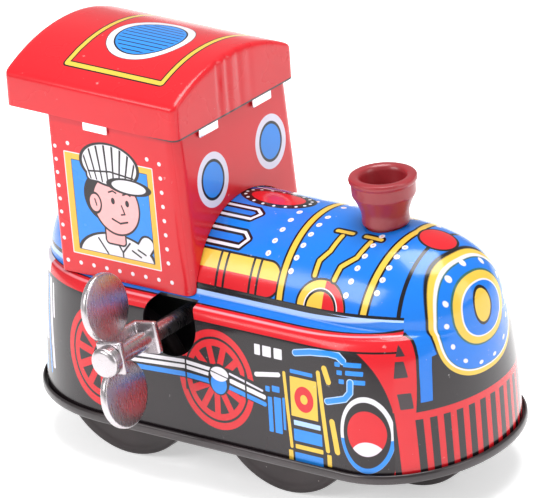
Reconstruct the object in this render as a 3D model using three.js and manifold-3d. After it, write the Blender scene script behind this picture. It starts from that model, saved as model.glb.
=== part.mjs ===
// Tin clockwork train locomotive, millimetres, +Z up, +X towards the nose, +Y to the engine's left.
// A pressed tin body closed by a crimped base plate holds a two-plate clockwork motor.
// The winding key leaves the right side; the rear axle is driven and the front axle runs free.
import * as THREE from 'three';
import { mergeVertices } from 'three/addons/utils/BufferGeometryUtils.js';
import Module from 'manifold-3d';

const wasm = await Module();
wasm.setup();

// ---------------------------------------------------------------- driving dimensions

const BODY_LENGTH = 94.1;          // over the crimped rim
const BODY_WIDTH = 43.8;           // over the crimped rim
const BOILER_WIDTH = 31.0;         // across the boiler barrel at the running board
const BOILER_TOP = 46.9;           // boiler crown above the ground
const SHOULDER_Z = 33.1;           // running board above the ground
const RIM_Z = 10.0;                // upper edge of the crimped rim above the ground
const CAB_LENGTH = 29.4;           // cab side wall at its foot
const CAB_WIDTH = 32.6;
const CAB_REAR_X = -32.6;          // cab rear wall
const EAVE_Z = 62.2;               // lower edge of the roof's fascia
const FASCIA = 6.0;                // height of the roof's fascia along the sides
const ROOF_RISE = 4.7;             // arch above the fascia
const ROOF_PITCH = 1.3;            // degrees the roof climbs towards the rear
const ROOF_OVERHANG = 8.4;         // past the cab's rear wall
const WHEEL_RADIUS = 14.7;
const WHEEL_FACE = 15.9;           // outer face of a wheel from the centre plane
const WHEEL_WIDTH = 2.6;
const DRIVE_AXLE_X = -21.9;
const FRONT_AXLE_X = 12.5;          // middle axle
const PILOT_FACE = 3.9;            // outer face of a pilot wheel, on the narrow axle under the nose
const ARBOR_X = -7.2;              // winding arbor
const ARBOR_Z = 29.0;
const CHIMNEY_X = 26.45;
const CHIMNEY_HEIGHT = 8.8;        // above the boiler crown
const PLATE_GAP = 16.4;            // between the inner faces of the motor plates

// ---------------------------------------------------------------- clearances and stock

const TIN = 0.5;                   // sheet thickness as modelled
const GAP = 0.3;                   // between pieces that touch
const RUN = 0.08;                  // radial running clearance of a shaft
const PLATE = 0.9;                 // motor plate thickness
const RIM_LIP = 0.6;               // thickness of the crimped rim
const AXLE_RADIUS = 1.1;
const ARBOR_RADIUS = 1.6;
const PIVOT_RADIUS = 0.8;          // thin arbors of the train
const MODULE = 0.5;                // gear module
const GREAT_TEETH = 44;
const SECOND_TEETH = 30;
const PINION_TEETH = 10;
const ESCAPE_PINION_TEETH = 8;

// ---------------------------------------------------------------- solids

const root = new THREE.Group();
root.name = 'tin_train_locomotive';

function solid(geometry) {
  let plain = geometry.clone();
  plain.deleteAttribute('normal');
  plain.deleteAttribute('uv');
  plain = mergeVertices(plain, 1e-5);
  const index = plain.index ? Array.from(plain.index.array) : null;
  return new wasm.Manifold(new wasm.Mesh({
    numProp: 3,
    vertProperties: new Float32Array(plain.attributes.position.array),
    triVerts: new Uint32Array(index)
  }));
}

function geometryOf(manifold) {
  const mesh = manifold.getMesh();
  const positions = new Float32Array(mesh.numVert * 3);
  for (let i = 0; i < mesh.numVert; i += 1) {
    for (let k = 0; k < 3; k += 1) {
      positions[3 * i + k] = mesh.vertProperties[i * mesh.numProp + k];
    }
  }
  const geometry = new THREE.BufferGeometry();
  geometry.setAttribute('position', new THREE.BufferAttribute(positions, 3));
  geometry.setIndex(Array.from(mesh.triVerts));
  geometry.computeVertexNormals();
  return geometry;
}

const finishes = {
  red_tin: { color: 0xd8323f, roughness: 0.3, metalness: 0.2 },
  blue_tin: { color: 0x1f6fd6, roughness: 0.3, metalness: 0.2 },
  black_tin: { color: 0x2b2828, roughness: 0.45, metalness: 0.4 },
  wheel_black: { color: 0x25201f, roughness: 0.5, metalness: 0.3 },
  chimney_plastic: { color: 0x9a2430, roughness: 0.35, metalness: 0.0 },
  nickel: { color: 0xb9b4b2, roughness: 0.25, metalness: 0.9 },
  steel: { color: 0x8d9196, roughness: 0.35, metalness: 0.9 },
  spring_steel: { color: 0x5a6472, roughness: 0.3, metalness: 0.9 },
  brass: { color: 0xb58f45, roughness: 0.35, metalness: 0.85 }
};

function add(name, shape, finish) {
  const geometry = shape.isBufferGeometry ? shape : geometryOf(shape);
  const mesh = new THREE.Mesh(geometry, new THREE.MeshStandardMaterial(finishes[finish]));
  mesh.name = name;
  root.add(mesh);
}

// A closed skin over rings of points that all have the same count, from the lowest to the highest.
function loft(rings) {
  const count = rings[0].length;
  const positions = [];
  const faces = [];
  for (const ring of rings) {
    for (const point of ring) {
      positions.push(point.x, point.y, point.z);
    }
  }
  for (let level = 0; level + 1 < rings.length; level += 1) {
    for (let i = 0; i < count; i += 1) {
      const a = level * count + i;
      const b = level * count + ((i + 1) % count);
      faces.push(a, b, b + count, a, b + count, a + count);
    }
  }
  const capRing = (ring, first, up) => {
    const flat = ring.map((point) => new THREE.Vector2(point.x, point.y));
    for (const [a, b, c] of THREE.ShapeUtils.triangulateShape(flat, [])) {
      if (up) {
        faces.push(first + a, first + b, first + c);
      } else {
        faces.push(first + c, first + b, first + a);
      }
    }
  };
  capRing(rings[0], 0, false);
  capRing(rings[rings.length - 1], (rings.length - 1) * count, true);
  const geometry = new THREE.BufferGeometry();
  geometry.setAttribute('position', new THREE.BufferAttribute(new Float32Array(positions), 3));
  geometry.setIndex(faces);
  return solid(geometry);
}

function box(x0, x1, y0, y1, z0, z1) {
  const geometry = new THREE.BoxGeometry(x1 - x0, y1 - y0, z1 - z0);
  geometry.translate((x0 + x1) / 2, (y0 + y1) / 2, (z0 + z1) / 2);
  return solid(geometry);
}

// A round bar along Y, its first vertex pointing down.
function barY(radius, x, z, y0, y1, sides = 24) {
  const geometry = new THREE.CylinderGeometry(radius, radius, y1 - y0, sides);
  geometry.translate(x, (y0 + y1) / 2, 0);
  geometry.translate(0, 0, z);
  return solid(geometry);
}

// A flat plate in the XZ plane between y0 and y1.
function plateY(shape, y0, y1) {
  const geometry = new THREE.ExtrudeGeometry(shape, { depth: y1 - y0, bevelEnabled: false });
  geometry.rotateX(Math.PI / 2);
  geometry.translate(0, y1, 0);
  return solid(geometry);
}

function lathe(profile, sides) {
  const points = profile.map(([r, z]) => new THREE.Vector2(r, z));
  const geometry = new THREE.LatheGeometry(points, sides);
  geometry.rotateX(Math.PI / 2);
  return solid(geometry);
}

function polygon(points) {
  return new THREE.Shape(points.map(([x, y]) => new THREE.Vector2(x, y)));
}

// ---------------------------------------------------------------- the body pressing

const RIM_STANDS_OUT = RIM_LIP + GAP;
const BOTTOM_W = BODY_WIDTH / 2 - RIM_STANDS_OUT;
const FRONT_X = BODY_LENGTH / 2 - RIM_STANDS_OUT;
const REAR_X = -FRONT_X;
const FLOOR_TOP = RIM_Z - 1.2;
const SHELL_BOTTOM = FLOOR_TOP + GAP;
const BOILER_W = BOILER_WIDTH / 2;
const BOILER_AXIS_Z = SHOULDER_Z - 1.1;
const BOILER_RISE = BOILER_TOP - BOILER_AXIS_Z;
const NOSE_LENGTH = BODY_LENGTH * 0.23;
const TAIL_LENGTH = BODY_LENGTH * 0.19;
const NOSE_BULGE = 0.5;            // the nose stands this far past the skirt's foot
const TAIL_DRAW = 2.0;             // the tail's crown stands this far inside the skirt's foot
const NOSE_CENTRE = FRONT_X + NOSE_BULGE - NOSE_LENGTH;
const TAIL_CENTRE = REAR_X + TAIL_DRAW + TAIL_LENGTH;
const SKIRT_RISE = SHOULDER_Z - SHELL_BOTTOM;
const LEDGE = BOTTOM_W - 1.3 - BOILER_W;

// Each level holds half width, front and rear ends, and how far each end's rounding reaches.
function skirtLevel(share, drawIn, nose, noseReach, nosePower) {
  return {
    z: SHELL_BOTTOM + share * SKIRT_RISE,
    half: BOTTOM_W - drawIn,
    front: FRONT_X + nose,
    rear: REAR_X + Math.min(TAIL_DRAW, drawIn * 1.8),
    frontReach: noseReach * BODY_LENGTH,
    rearReach: 0.26 * BODY_LENGTH,
    frontPower: nosePower,
    rearPower: 2.1
  };
}

function boilerLevel(angle) {
  const z = BOILER_AXIS_Z + BOILER_RISE * Math.sin(angle);
  const over = Math.max(0, (z - SHOULDER_Z) / (BOILER_TOP - SHOULDER_Z));
  const front = (1 - over ** 2.6) ** (1 / 2.6);
  const rear = (1 - over ** 2.1) ** (1 / 2.1);
  return {
    z,
    half: BOILER_W * Math.cos(angle),
    front: NOSE_CENTRE + NOSE_LENGTH * front,
    rear: TAIL_CENTRE - TAIL_LENGTH * rear,
    frontReach: NOSE_LENGTH * front,
    rearReach: TAIL_LENGTH * rear,
    frontPower: 2.2,
    rearPower: 2.0
  };
}

const crestAngles = [0.12, 0.26, 0.42, 0.58, 0.74, 0.9, 1.06, 1.2, 1.32, 1.42, 1.5];
const levels = [
  skirtLevel(0, 0, 0, 0.18, 2.05),
  skirtLevel(0.5, 0.5, 0, 0.185, 2.05),
  skirtLevel(0.82, 1.0, 0.3, 0.22, 2.0),
  skirtLevel(0.93, 1.4, 0.45, 0.25, 2.0),
  skirtLevel(0.98, 2.2, NOSE_BULGE, 0.26, 2.0),
  skirtLevel(1, 1.3 + 0.55 * LEDGE, NOSE_BULGE, 0.25, 2.1),
  ...crestAngles.map(boilerLevel)
];

function outline(level, grow) {
  const ring = [];
  const half = level.half + grow;
  const frontReach = level.frontReach + grow;
  const rearReach = level.rearReach + grow;
  const frontCentre = level.front - level.frontReach;
  const rearCentre = level.rear + level.rearReach;
  const arc = (centre, reach, power, sign, from, to, steps) => {
    for (let i = 0; i <= steps; i += 1) {
      const t = from + ((to - from) * i) / steps;
      const c = Math.abs(Math.cos(t)) ** (2 / power);
      const s = Math.sign(Math.sin(t)) * Math.abs(Math.sin(t)) ** (2 / power);
      ring.push(new THREE.Vector3(centre + sign * reach * c, half * s, 0));
    }
  };
  const side = (x0, x1, y, steps) => {
    for (let i = 1; i < steps; i += 1) {
      ring.push(new THREE.Vector3(x0 + ((x1 - x0) * i) / steps, y, 0));
    }
  };
  arc(frontCentre, frontReach, level.frontPower, 1, -Math.PI / 2, Math.PI / 2, 16);
  side(frontCentre, rearCentre, half, 3);
  arc(rearCentre, rearReach, level.rearPower, -1, Math.PI / 2, -Math.PI / 2, 16);
  side(rearCentre, frontCentre, -half, 3);
  return ring;
}

// The body's outside when grow is 0, its inside when grow is negative.
function bodySolid(grow, lower) {
  const rings = levels.map((level, i) => {
    const shoulder = i < 3 ? 0 : 1;
    const z = level.z + grow * shoulder + (i === 0 ? -lower : 0);
    return outline(level, grow).map((point) => point.setZ(z));
  });
  return loft(rings);
}

const HOLE_X = ARBOR_X + 0.6;
const HOLE_Z = ARBOR_Z + 0.4;
const HOLE_RADIUS = 5.7;
const CAB_SIDE_Y = CAB_WIDTH / 2;
const keyHole = barY(HOLE_RADIUS, HOLE_X, HOLE_Z, -BODY_WIDTH, -CAB_SIDE_Y, 32);

const CHIMNEY_SPIGOT = 3.4;
const spigotHole = lathe([
  [0, BOILER_TOP - 4],
  [CHIMNEY_SPIGOT + GAP, BOILER_TOP - 4],
  [CHIMNEY_SPIGOT + GAP, BOILER_TOP + 4],
  [0, BOILER_TOP + 4]
], 28).translate([CHIMNEY_X, 0, 0]);

add('body_shell', bodySolid(0, 0)
  .subtract(bodySolid(-TIN, 1))
  .subtract(keyHole)
  .subtract(spigotHole), 'blue_tin');

// ---------------------------------------------------------------- base plate with the crimped rim

const FLOOR_BOTTOM = FLOOR_TOP - RIM_LIP;
const wheelInnerY = WHEEL_FACE - WHEEL_WIDTH;
const SLOT_MARGIN = 0.8;
const BRACKET_HALF = 2.6;
const BRACKET_TOP = FLOOR_TOP + GAP + 0.8;
const BRACKET_CHORD = Math.sqrt(WHEEL_RADIUS ** 2 - (WHEEL_RADIUS - BRACKET_TOP) ** 2);
const PILOT_AXLE_X = FRONT_AXLE_X + BRACKET_HALF + 0.5 + BRACKET_CHORD;
const SLOT_HALF = Math.sqrt(WHEEL_RADIUS ** 2 - (WHEEL_RADIUS - FLOOR_TOP) ** 2) + SLOT_MARGIN;

function rimRing(grow, z) {
  return outline(levels[0], grow).map((point) => point.setZ(z));
}

let basePlate = loft([rimRing(RIM_STANDS_OUT, FLOOR_BOTTOM), rimRing(RIM_STANDS_OUT, RIM_Z)])
  .subtract(loft([rimRing(GAP, FLOOR_TOP), rimRing(GAP, RIM_Z + 1)]));
for (const axleX of [DRIVE_AXLE_X, FRONT_AXLE_X]) {
  for (const side of [-1, 1]) {
    const y0 = side < 0 ? -WHEEL_FACE - SLOT_MARGIN : wheelInnerY - SLOT_MARGIN;
    basePlate = basePlate.subtract(box(
      axleX - SLOT_HALF,
      axleX + SLOT_HALF,
      y0,
      y0 + WHEEL_WIDTH + 2 * SLOT_MARGIN,
      FLOOR_BOTTOM - 1,
      FLOOR_TOP + 1
    ));
  }
}
basePlate = basePlate.subtract(box(
  PILOT_AXLE_X - SLOT_HALF,
  PILOT_AXLE_X + SLOT_HALF,
  -PILOT_FACE - SLOT_MARGIN,
  PILOT_FACE + SLOT_MARGIN,
  FLOOR_BOTTOM - 1,
  FLOOR_TOP + 1
));
add('base_plate', basePlate, 'black_tin');

// ---------------------------------------------------------------- cab

const CAB_FRONT_FOOT = CAB_REAR_X + CAB_LENGTH;
const CAB_LEAN = 1.5;              // the front wall leans back by this much at the eave
const CAB_FOOT_Z = SHOULDER_Z + GAP;
const CAB_TOP_Z = EAVE_Z + FASCIA - 1.8;
const CAB_CORNER = 2.0;            // front corners
const CAB_REAR_CORNER = 0.9;

function cabRing(inset, z) {
  const lean = CAB_LEAN * (z - CAB_FOOT_Z) / (EAVE_Z - CAB_FOOT_Z);
  const front = CAB_FRONT_FOOT - lean - inset;
  const rear = CAB_REAR_X + inset;
  const half = CAB_SIDE_Y - inset;
  const ring = [];
  const corner = (x, y, radius, start) => {
    const centreX = x - Math.sign(x - (front + rear) / 2) * radius;
    const centreY = y - Math.sign(y) * radius;
    for (let i = 0; i <= 4; i += 1) {
      const t = start + (i * Math.PI) / 8;
      ring.push(new THREE.Vector3(centreX + radius * Math.cos(t), centreY + radius * Math.sin(t), z));
    }
  };
  corner(front, half, CAB_CORNER - inset, 0);
  corner(rear, half, CAB_REAR_CORNER - inset, Math.PI / 2);
  corner(rear, -half, CAB_REAR_CORNER - inset, Math.PI);
  corner(front, -half, CAB_CORNER - inset, 1.5 * Math.PI);
  return ring;
}

add('cab_shell', loft([cabRing(0, CAB_FOOT_Z), cabRing(0, CAB_TOP_Z)])
  .subtract(loft([cabRing(TIN, CAB_FOOT_Z - 1), cabRing(TIN, CAB_TOP_Z + 1)]))
  .subtract(bodySolid(GAP, 0)), 'red_tin');

// ---------------------------------------------------------------- roof

const ROOF_SIDE_Y = CAB_SIDE_Y + 0.15 + TIN;
const ROOF_FRONT = CAB_FRONT_FOOT - CAB_LEAN + 0.35 + TIN;
const ROOF_REAR = CAB_REAR_X - ROOF_OVERHANG;
const FASCIA_TOP = EAVE_Z + FASCIA;

function roofSection(inset, foot) {
  const half = ROOF_SIDE_Y - inset;
  const points = [[-half, foot], [half, foot]];
  const steps = 14;
  for (let i = 0; i <= steps; i += 1) {
    const y = half - (2 * half * i) / steps;
    const rise = ROOF_RISE * (1 - Math.abs(y / half) ** 2.1);
    points.push([y, FASCIA_TOP - inset + rise]);
  }
  return polygon(points);
}

function roofSolid(inset, foot) {
  const length = ROOF_FRONT - ROOF_REAR - 2 * inset;
  const settings = { depth: length, bevelEnabled: false };
  const geometry = new THREE.ExtrudeGeometry(roofSection(inset, foot), settings);
  geometry.rotateX(Math.PI / 2);
  geometry.rotateZ(Math.PI / 2);
  geometry.translate(ROOF_REAR + inset, 0, 0);
  return solid(geometry);
}

const TAB_LENGTH = 5.2;
const TAB_DROP = 1.6;
let roof = roofSolid(0, EAVE_Z).subtract(roofSolid(TIN, EAVE_Z - 1));
for (const side of [-1, 1]) {
  const outer = side * ROOF_SIDE_Y;
  const inner = side * (ROOF_SIDE_Y - TIN);
  roof = roof.add(box(
    CAB_REAR_X + 8.4,
    CAB_REAR_X + 8.4 + TAB_LENGTH,
    Math.min(outer, inner),
    Math.max(outer, inner),
    EAVE_Z - TAB_DROP,
    EAVE_Z + 1
  ));
  roof = roof.add(box(
    ROOF_FRONT - TIN,
    ROOF_FRONT,
    side * 7.6 - TAB_LENGTH / 2,
    side * 7.6 + TAB_LENGTH / 2,
    EAVE_Z - TAB_DROP,
    EAVE_Z + 1
  ));
}
roof = roof
  .translate([-ROOF_FRONT, 0, -EAVE_Z])
  .rotate([0, ROOF_PITCH, 0])
  .translate([ROOF_FRONT, 0, EAVE_Z]);
add('cab_roof', roof, 'red_tin');

// ---------------------------------------------------------------- chimney and its spring washer

const CROWN = BOILER_TOP;
const CHIMNEY_TOP = CROWN + CHIMNEY_HEIGHT;
add('chimney', lathe([
  [0, CROWN - 3.4],
  [CHIMNEY_SPIGOT, CROWN - 3.4],
  [CHIMNEY_SPIGOT, CROWN + 0.2],
  [4.1, CROWN + 0.3],
  [4.0, CROWN + 2.4],
  [5.0, CROWN + 4.9],
  [5.5, CROWN + 5.3],
  [5.6, CROWN + 7.6],
  [5.9, CHIMNEY_TOP - 0.5],
  [5.5, CHIMNEY_TOP],
  [4.2, CHIMNEY_TOP],
  [3.8, CHIMNEY_TOP - 0.6],
  [3.4, CROWN + 3],
  [0, CROWN + 2.6]
], 32).translate([CHIMNEY_X, 0, 0]), 'chimney_plastic');

add('chimney_washer', lathe([
  [CHIMNEY_SPIGOT + RUN, CROWN - 3.0],
  [CHIMNEY_SPIGOT + 2, CROWN - 3.0],
  [CHIMNEY_SPIGOT + 2, CROWN - 2.4],
  [CHIMNEY_SPIGOT + RUN, CROWN - 2.4],
  [CHIMNEY_SPIGOT + RUN, CROWN - 3.0]
], 28).translate([CHIMNEY_X, 0, 0]), 'steel');

// ---------------------------------------------------------------- the train of gears, laid out

const pitch = (teeth) => (MODULE * teeth) / 2;
const arborA = { x: ARBOR_X, z: ARBOR_Z };
const arborD = { x: DRIVE_AXLE_X, z: WHEEL_RADIUS };
const reachAB = pitch(GREAT_TEETH) + pitch(PINION_TEETH);
const reachBD = pitch(SECOND_TEETH) + pitch(PINION_TEETH);
const spanAD = Math.hypot(arborD.x - arborA.x, arborD.z - arborA.z);
const alongAD = (reachAB ** 2 - reachBD ** 2 + spanAD ** 2) / (2 * spanAD);
const asideAD = Math.sqrt(reachAB ** 2 - alongAD ** 2);
const unit = { x: (arborD.x - arborA.x) / spanAD, z: (arborD.z - arborA.z) / spanAD };
const arborB = {
  x: arborA.x + alongAD * unit.x + asideAD * unit.z,
  z: arborA.z + alongAD * unit.z - asideAD * unit.x
};

function stepFrom(centre, reach, degrees) {
  const t = THREE.MathUtils.degToRad(degrees);
  return { x: centre.x + reach * Math.cos(t), z: centre.z + reach * Math.sin(t) };
}

function bearing(from, to) {
  return Math.atan2(to.z - from.z, to.x - from.x);
}

const arborE = stepFrom(arborB, pitch(SECOND_TEETH) + pitch(ESCAPE_PINION_TEETH), 138);
const PALLET_REACH = 6.4;
const arborF = stepFrom(arborE, PALLET_REACH, 156);
const pillarFront = stepFrom(arborA, reachAB + 0.8, -44);
const PLATE_INSIDE = PLATE_GAP / 2;
const PLATE_OUTSIDE = PLATE_INSIDE + PLATE;
// the plates' upper edge keeps to the height the barrel leaves at the plates' outer faces
const PLATE_TOP_Z = BOILER_AXIS_Z - TIN - 0.3
  + BOILER_RISE * Math.sqrt(1 - (PLATE_OUTSIDE / (BOILER_W - TIN)) ** 2);
const pillarTop = { x: ARBOR_X + 9.05, z: PLATE_TOP_Z - 2.4 };
const pillarRear = stepFrom(arborD, reachAB + 0.2, 156);

// Teeth as slim trapezoids; the first tooth's centre lies at the given angle.
function gearShape(teeth, firstTooth, bore) {
  const radius = pitch(teeth);
  const tip = radius + 0.8 * MODULE;
  const valley = radius - 1.1 * MODULE;
  const step = (2 * Math.PI) / teeth;
  const points = [];
  const at = (r, t) => points.push([r * Math.cos(t), r * Math.sin(t)]);
  for (let i = 0; i < teeth; i += 1) {
    const t = firstTooth + i * step;
    at(valley, t - step * 0.27);
    at(tip, t - step * 0.1);
    at(tip, t + step * 0.1);
    at(valley, t + step * 0.27);
  }
  const shape = polygon(points);
  if (bore > 0) {
    shape.holes.push(roundHole(bore));
  }
  return shape;
}

function roundHole(radius, x = 0, z = 0, sides = 24) {
  const points = [];
  for (let i = 0; i < sides; i += 1) {
    const t = (2 * Math.PI * i) / sides;
    points.push(new THREE.Vector2(x + radius * Math.cos(t), z + radius * Math.sin(t)));
  }
  return new THREE.Path(points);
}

// Moves a flat plate drawn about its own centre to an arbor.
function onArbor(shape, arbor, y0, y1) {
  return plateY(shape, y0, y1).translate([arbor.x, 0, arbor.z]);
}

// ---------------------------------------------------------------- motor plates and pillars

const PLATE_IN = PLATE_GAP / 2;
const PLATE_OUT = PLATE_IN + PLATE;
const PILLAR_RADIUS = 1.3;
const PIVOT_PLAY = RUN;

function motorPlateShape() {
  const shape = polygon([
    [DRIVE_AXLE_X - 13.5, FLOOR_TOP + GAP],
    [ARBOR_X + 10.5, FLOOR_TOP + GAP],
    [ARBOR_X + 13.2, ARBOR_Z - 8],
    [ARBOR_X + 11.6, PLATE_TOP_Z - 1.1],
    [ARBOR_X + 6.5, PLATE_TOP_Z],
    [ARBOR_X - 11, ARBOR_Z + 11],
    [arborF.x - 3, arborF.z + 4],
    [arborF.x - 4.4, arborF.z - 2],
    [DRIVE_AXLE_X - 15.6, WHEEL_RADIUS + 5]
  ]);
  const shafts = [
    [arborA, ARBOR_RADIUS],
    [arborB, PIVOT_RADIUS],
    [arborD, AXLE_RADIUS],
    [arborE, PIVOT_RADIUS],
    [arborF, PIVOT_RADIUS]
  ];
  for (const [arbor, radius] of shafts) {
    shape.holes.push(roundHole(radius + PIVOT_PLAY, arbor.x, arbor.z));
  }
  for (const pillar of [pillarFront, pillarTop, pillarRear]) {
    shape.holes.push(roundHole(PIVOT_RADIUS + 0.05, pillar.x, pillar.z));
  }
  return shape;
}

add('motor_plate_right', plateY(motorPlateShape(), -PLATE_OUT, -PLATE_IN), 'steel');
add('motor_plate_left', plateY(motorPlateShape(), PLATE_IN, PLATE_OUT), 'steel');

function pillar(centre) {
  return barY(PILLAR_RADIUS, centre.x, centre.z, -PLATE_IN + 0.05, PLATE_IN - 0.05, 16)
    .add(barY(PIVOT_RADIUS, centre.x, centre.z, -PLATE_OUT - 0.5, PLATE_OUT + 0.5, 16));
}

add('pillar_front', pillar(pillarFront), 'steel');
add('pillar_top', pillar(pillarTop), 'steel');
add('pillar_rear', pillar(pillarRear), 'steel');

// ---------------------------------------------------------------- mainspring

const SPRING_Y0 = -PLATE_IN + 0.8;
const SPRING_Y1 = -1.3;
const SPRING_THICK = 0.45;
const SPRING_INNER = ARBOR_RADIUS + 0.5;
const SPRING_OUTER = pitch(GREAT_TEETH) - 1.6;
const SPRING_TURNS = 4.25;

function springShape() {
  const outer = [];
  const inner = [];
  const steps = Math.round(SPRING_TURNS * 20);
  const end = bearing(arborA, pillarFront);
  for (let i = 0; i <= steps; i += 1) {
    const share = i / steps;
    const t = end + (share - 1) * SPRING_TURNS * 2 * Math.PI;
    const r = SPRING_INNER + (SPRING_OUTER - SPRING_INNER) * share;
    outer.push([(r + SPRING_THICK / 2) * Math.cos(t), (r + SPRING_THICK / 2) * Math.sin(t)]);
    inner.push([(r - SPRING_THICK / 2) * Math.cos(t), (r - SPRING_THICK / 2) * Math.sin(t)]);
  }
  const tail = reachAB + 0.8 - PILLAR_RADIUS - GAP;
  const lean = 0.16;
  outer.push([tail * Math.cos(end + lean), tail * Math.sin(end + lean)]);
  inner.push([(tail - SPRING_THICK) * Math.cos(end + lean), (tail - SPRING_THICK) * Math.sin(end + lean)]);
  return polygon([...outer, ...inner.reverse()]);
}

add('mainspring', onArbor(springShape(), arborA, SPRING_Y0, SPRING_Y1), 'spring_steel');

// ---------------------------------------------------------------- winding arbor, ratchet and key

const RATCHET_Y0 = -0.6;
const RATCHET_Y1 = 0.4;
const GREAT_Y0 = RATCHET_Y1 + GAP;
const GREAT_Y1 = GREAT_Y0 + 1.0;
const KEY_REACH = 15.4;            // wing edge beyond the rim
const KEY_EDGE_Y = -BODY_WIDTH / 2 - KEY_REACH;
const WING_LENGTH = 11.4;          // along the arbor
const WING_HEIGHT = 12.0;
const WING_OFFSET = 7.9;
const KEY_SHEET = 1.3;
const KEY_LEAN = 8.7;              // degrees the wings lean back from upright
const WING_Y = KEY_EDGE_Y + WING_LENGTH / 2;
const ARBOR_END = WING_Y - 5.0;
const BRIDGE_Y0 = WING_Y - 3.0;
const BRIDGE_Y1 = WING_Y + 6.6;
const BRIDGE_HALF = 2.9;
const BRIDGE_DEPTH = 4.6;          // the bridge's back stands half of this behind the arbor
const BRIDGE_REACH = 2.3;          // how far its ears reach in front of the arbor's axis

add('winding_arbor', barY(ARBOR_RADIUS, arborA.x, arborA.z, ARBOR_END, PLATE_OUT + 0.9, 24)
  .add(barY(
    ARBOR_RADIUS + 1.1,
    arborA.x,
    arborA.z,
    ARBOR_END - 1.2,
    BRIDGE_Y0 - KEY_SHEET / 2 - 0.15,
    24
  )), 'steel');

const ratchetShape = (() => {
  const teeth = 12;
  const points = [];
  for (let i = 0; i < teeth; i += 1) {
    const t = (2 * Math.PI * i) / teeth;
    points.push([4.3 * Math.cos(t), 4.3 * Math.sin(t)]);
    points.push([3.3 * Math.cos(t + 0.06), 3.3 * Math.sin(t + 0.06)]);
  }
  const shape = polygon(points);
  shape.holes.push(roundHole(ARBOR_RADIUS + 0.05));
  return shape;
})();
add('ratchet_wheel', onArbor(ratchetShape, arborA, RATCHET_Y0, RATCHET_Y1), 'steel');

// The key is one strip: a U-shaped bridge with a wing at each end, drawn upright about the arbor.
function ellipseRing(halfY, halfZ, centreY, centreZ, x) {
  const ring = [];
  for (let i = 0; i < 28; i += 1) {
    const t = (2 * Math.PI * i) / 28;
    ring.push(new THREE.Vector3(halfY * Math.cos(t) + centreY, halfZ * Math.sin(t) + centreZ, x));
  }
  return ring;
}

function wing(centreZ) {
  const half = KEY_SHEET / 2;
  const flat = loft([
    ellipseRing(WING_LENGTH / 2, WING_HEIGHT / 2, 0, 0, -half),
    ellipseRing(WING_LENGTH / 2, WING_HEIGHT / 2, 0, 0, half)
  ]);
  return flat.rotate([90, 0, 90]).translate([-BRIDGE_DEPTH / 2, WING_Y, centreZ]);
}

const bridgeHole = barY(ARBOR_RADIUS + 0.05, 0, 0, BRIDGE_Y0 - 3, BRIDGE_Y1 + 3, 24);
const keyBridge = box(
  -BRIDGE_DEPTH / 2 - KEY_SHEET / 2,
  -BRIDGE_DEPTH / 2 + KEY_SHEET / 2,
  BRIDGE_Y0 - KEY_SHEET / 2,
  BRIDGE_Y1 + KEY_SHEET / 2,
  -BRIDGE_HALF,
  BRIDGE_HALF
)
  .add(box(-BRIDGE_DEPTH / 2, BRIDGE_REACH, BRIDGE_Y0 - KEY_SHEET / 2, BRIDGE_Y0 + KEY_SHEET / 2,
    -BRIDGE_HALF, BRIDGE_HALF))
  .add(box(-BRIDGE_DEPTH / 2, BRIDGE_REACH, BRIDGE_Y1 - KEY_SHEET / 2, BRIDGE_Y1 + KEY_SHEET / 2,
    -BRIDGE_HALF, BRIDGE_HALF));
add('key', keyBridge
  .add(wing(WING_OFFSET))
  .add(wing(-WING_OFFSET))
  .subtract(bridgeHole)
  .rotate([0, -KEY_LEAN, 0])
  .translate([arborA.x, 0, arborA.z]), 'nickel');

// ---------------------------------------------------------------- great wheel, click and click rivet

const CLICK_SEAT = 7.2;
const clickPost = stepFrom(arborA, CLICK_SEAT, 100);
const greatFirst = bearing(arborA, arborB);
const greatShape = gearShape(GREAT_TEETH, greatFirst, ARBOR_RADIUS + RUN);
const seat = { x: clickPost.x - arborA.x, z: clickPost.z - arborA.z };
greatShape.holes.push(roundHole(0.75, seat.x, seat.z, 16));
add('great_wheel', onArbor(greatShape, arborA, GREAT_Y0, GREAT_Y1), 'brass');

const clickShape = polygon([
  [1.5, -0.4],
  [1.1, 1.3],
  [-0.9, 1.4],
  [-5.0, -1.1],
  [-4.7, -1.8],
  [-0.8, -1.3]
]);
clickShape.holes.push(roundHole(0.75, 0, 0, 16));
add('click', plateY(clickShape, RATCHET_Y0, RATCHET_Y1)
  .translate([clickPost.x, 0, clickPost.z]), 'steel');
add('click_rivet', barY(0.65, clickPost.x, clickPost.z, RATCHET_Y0 - 0.4, GREAT_Y1 + 0.4, 16), 'brass');

// ---------------------------------------------------------------- second arbor

const SECOND_Y0 = GREAT_Y1 + 1.6;
const SECOND_Y1 = SECOND_Y0 + 0.9;
const halfStep = (teeth) => Math.PI / teeth;
add('second_arbor', barY(PIVOT_RADIUS, arborB.x, arborB.z, -PLATE_OUT - 0.6, PLATE_OUT + 0.6, 20), 'steel');
add('second_pinion', onArbor(
  gearShape(PINION_TEETH, bearing(arborB, arborA) + halfStep(PINION_TEETH), PIVOT_RADIUS + 0.05),
  arborB,
  GREAT_Y0 - 0.4,
  GREAT_Y1 + 0.4
), 'steel');
const secondFirst = bearing(arborB, arborD);
add('second_wheel', onArbor(
  gearShape(SECOND_TEETH, secondFirst, PIVOT_RADIUS + 0.05),
  arborB,
  SECOND_Y0,
  SECOND_Y1
), 'brass');

// ---------------------------------------------------------------- drive axle

add('drive_axle', barY(AXLE_RADIUS, arborD.x, arborD.z, -WHEEL_FACE - 0.5, WHEEL_FACE + 0.5, 24), 'steel');
add('axle_pinion', onArbor(
  gearShape(PINION_TEETH, bearing(arborD, arborB) + halfStep(PINION_TEETH), AXLE_RADIUS + 0.05),
  arborD,
  SECOND_Y0 - 0.4,
  SECOND_Y1 + 0.4
), 'steel');

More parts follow.
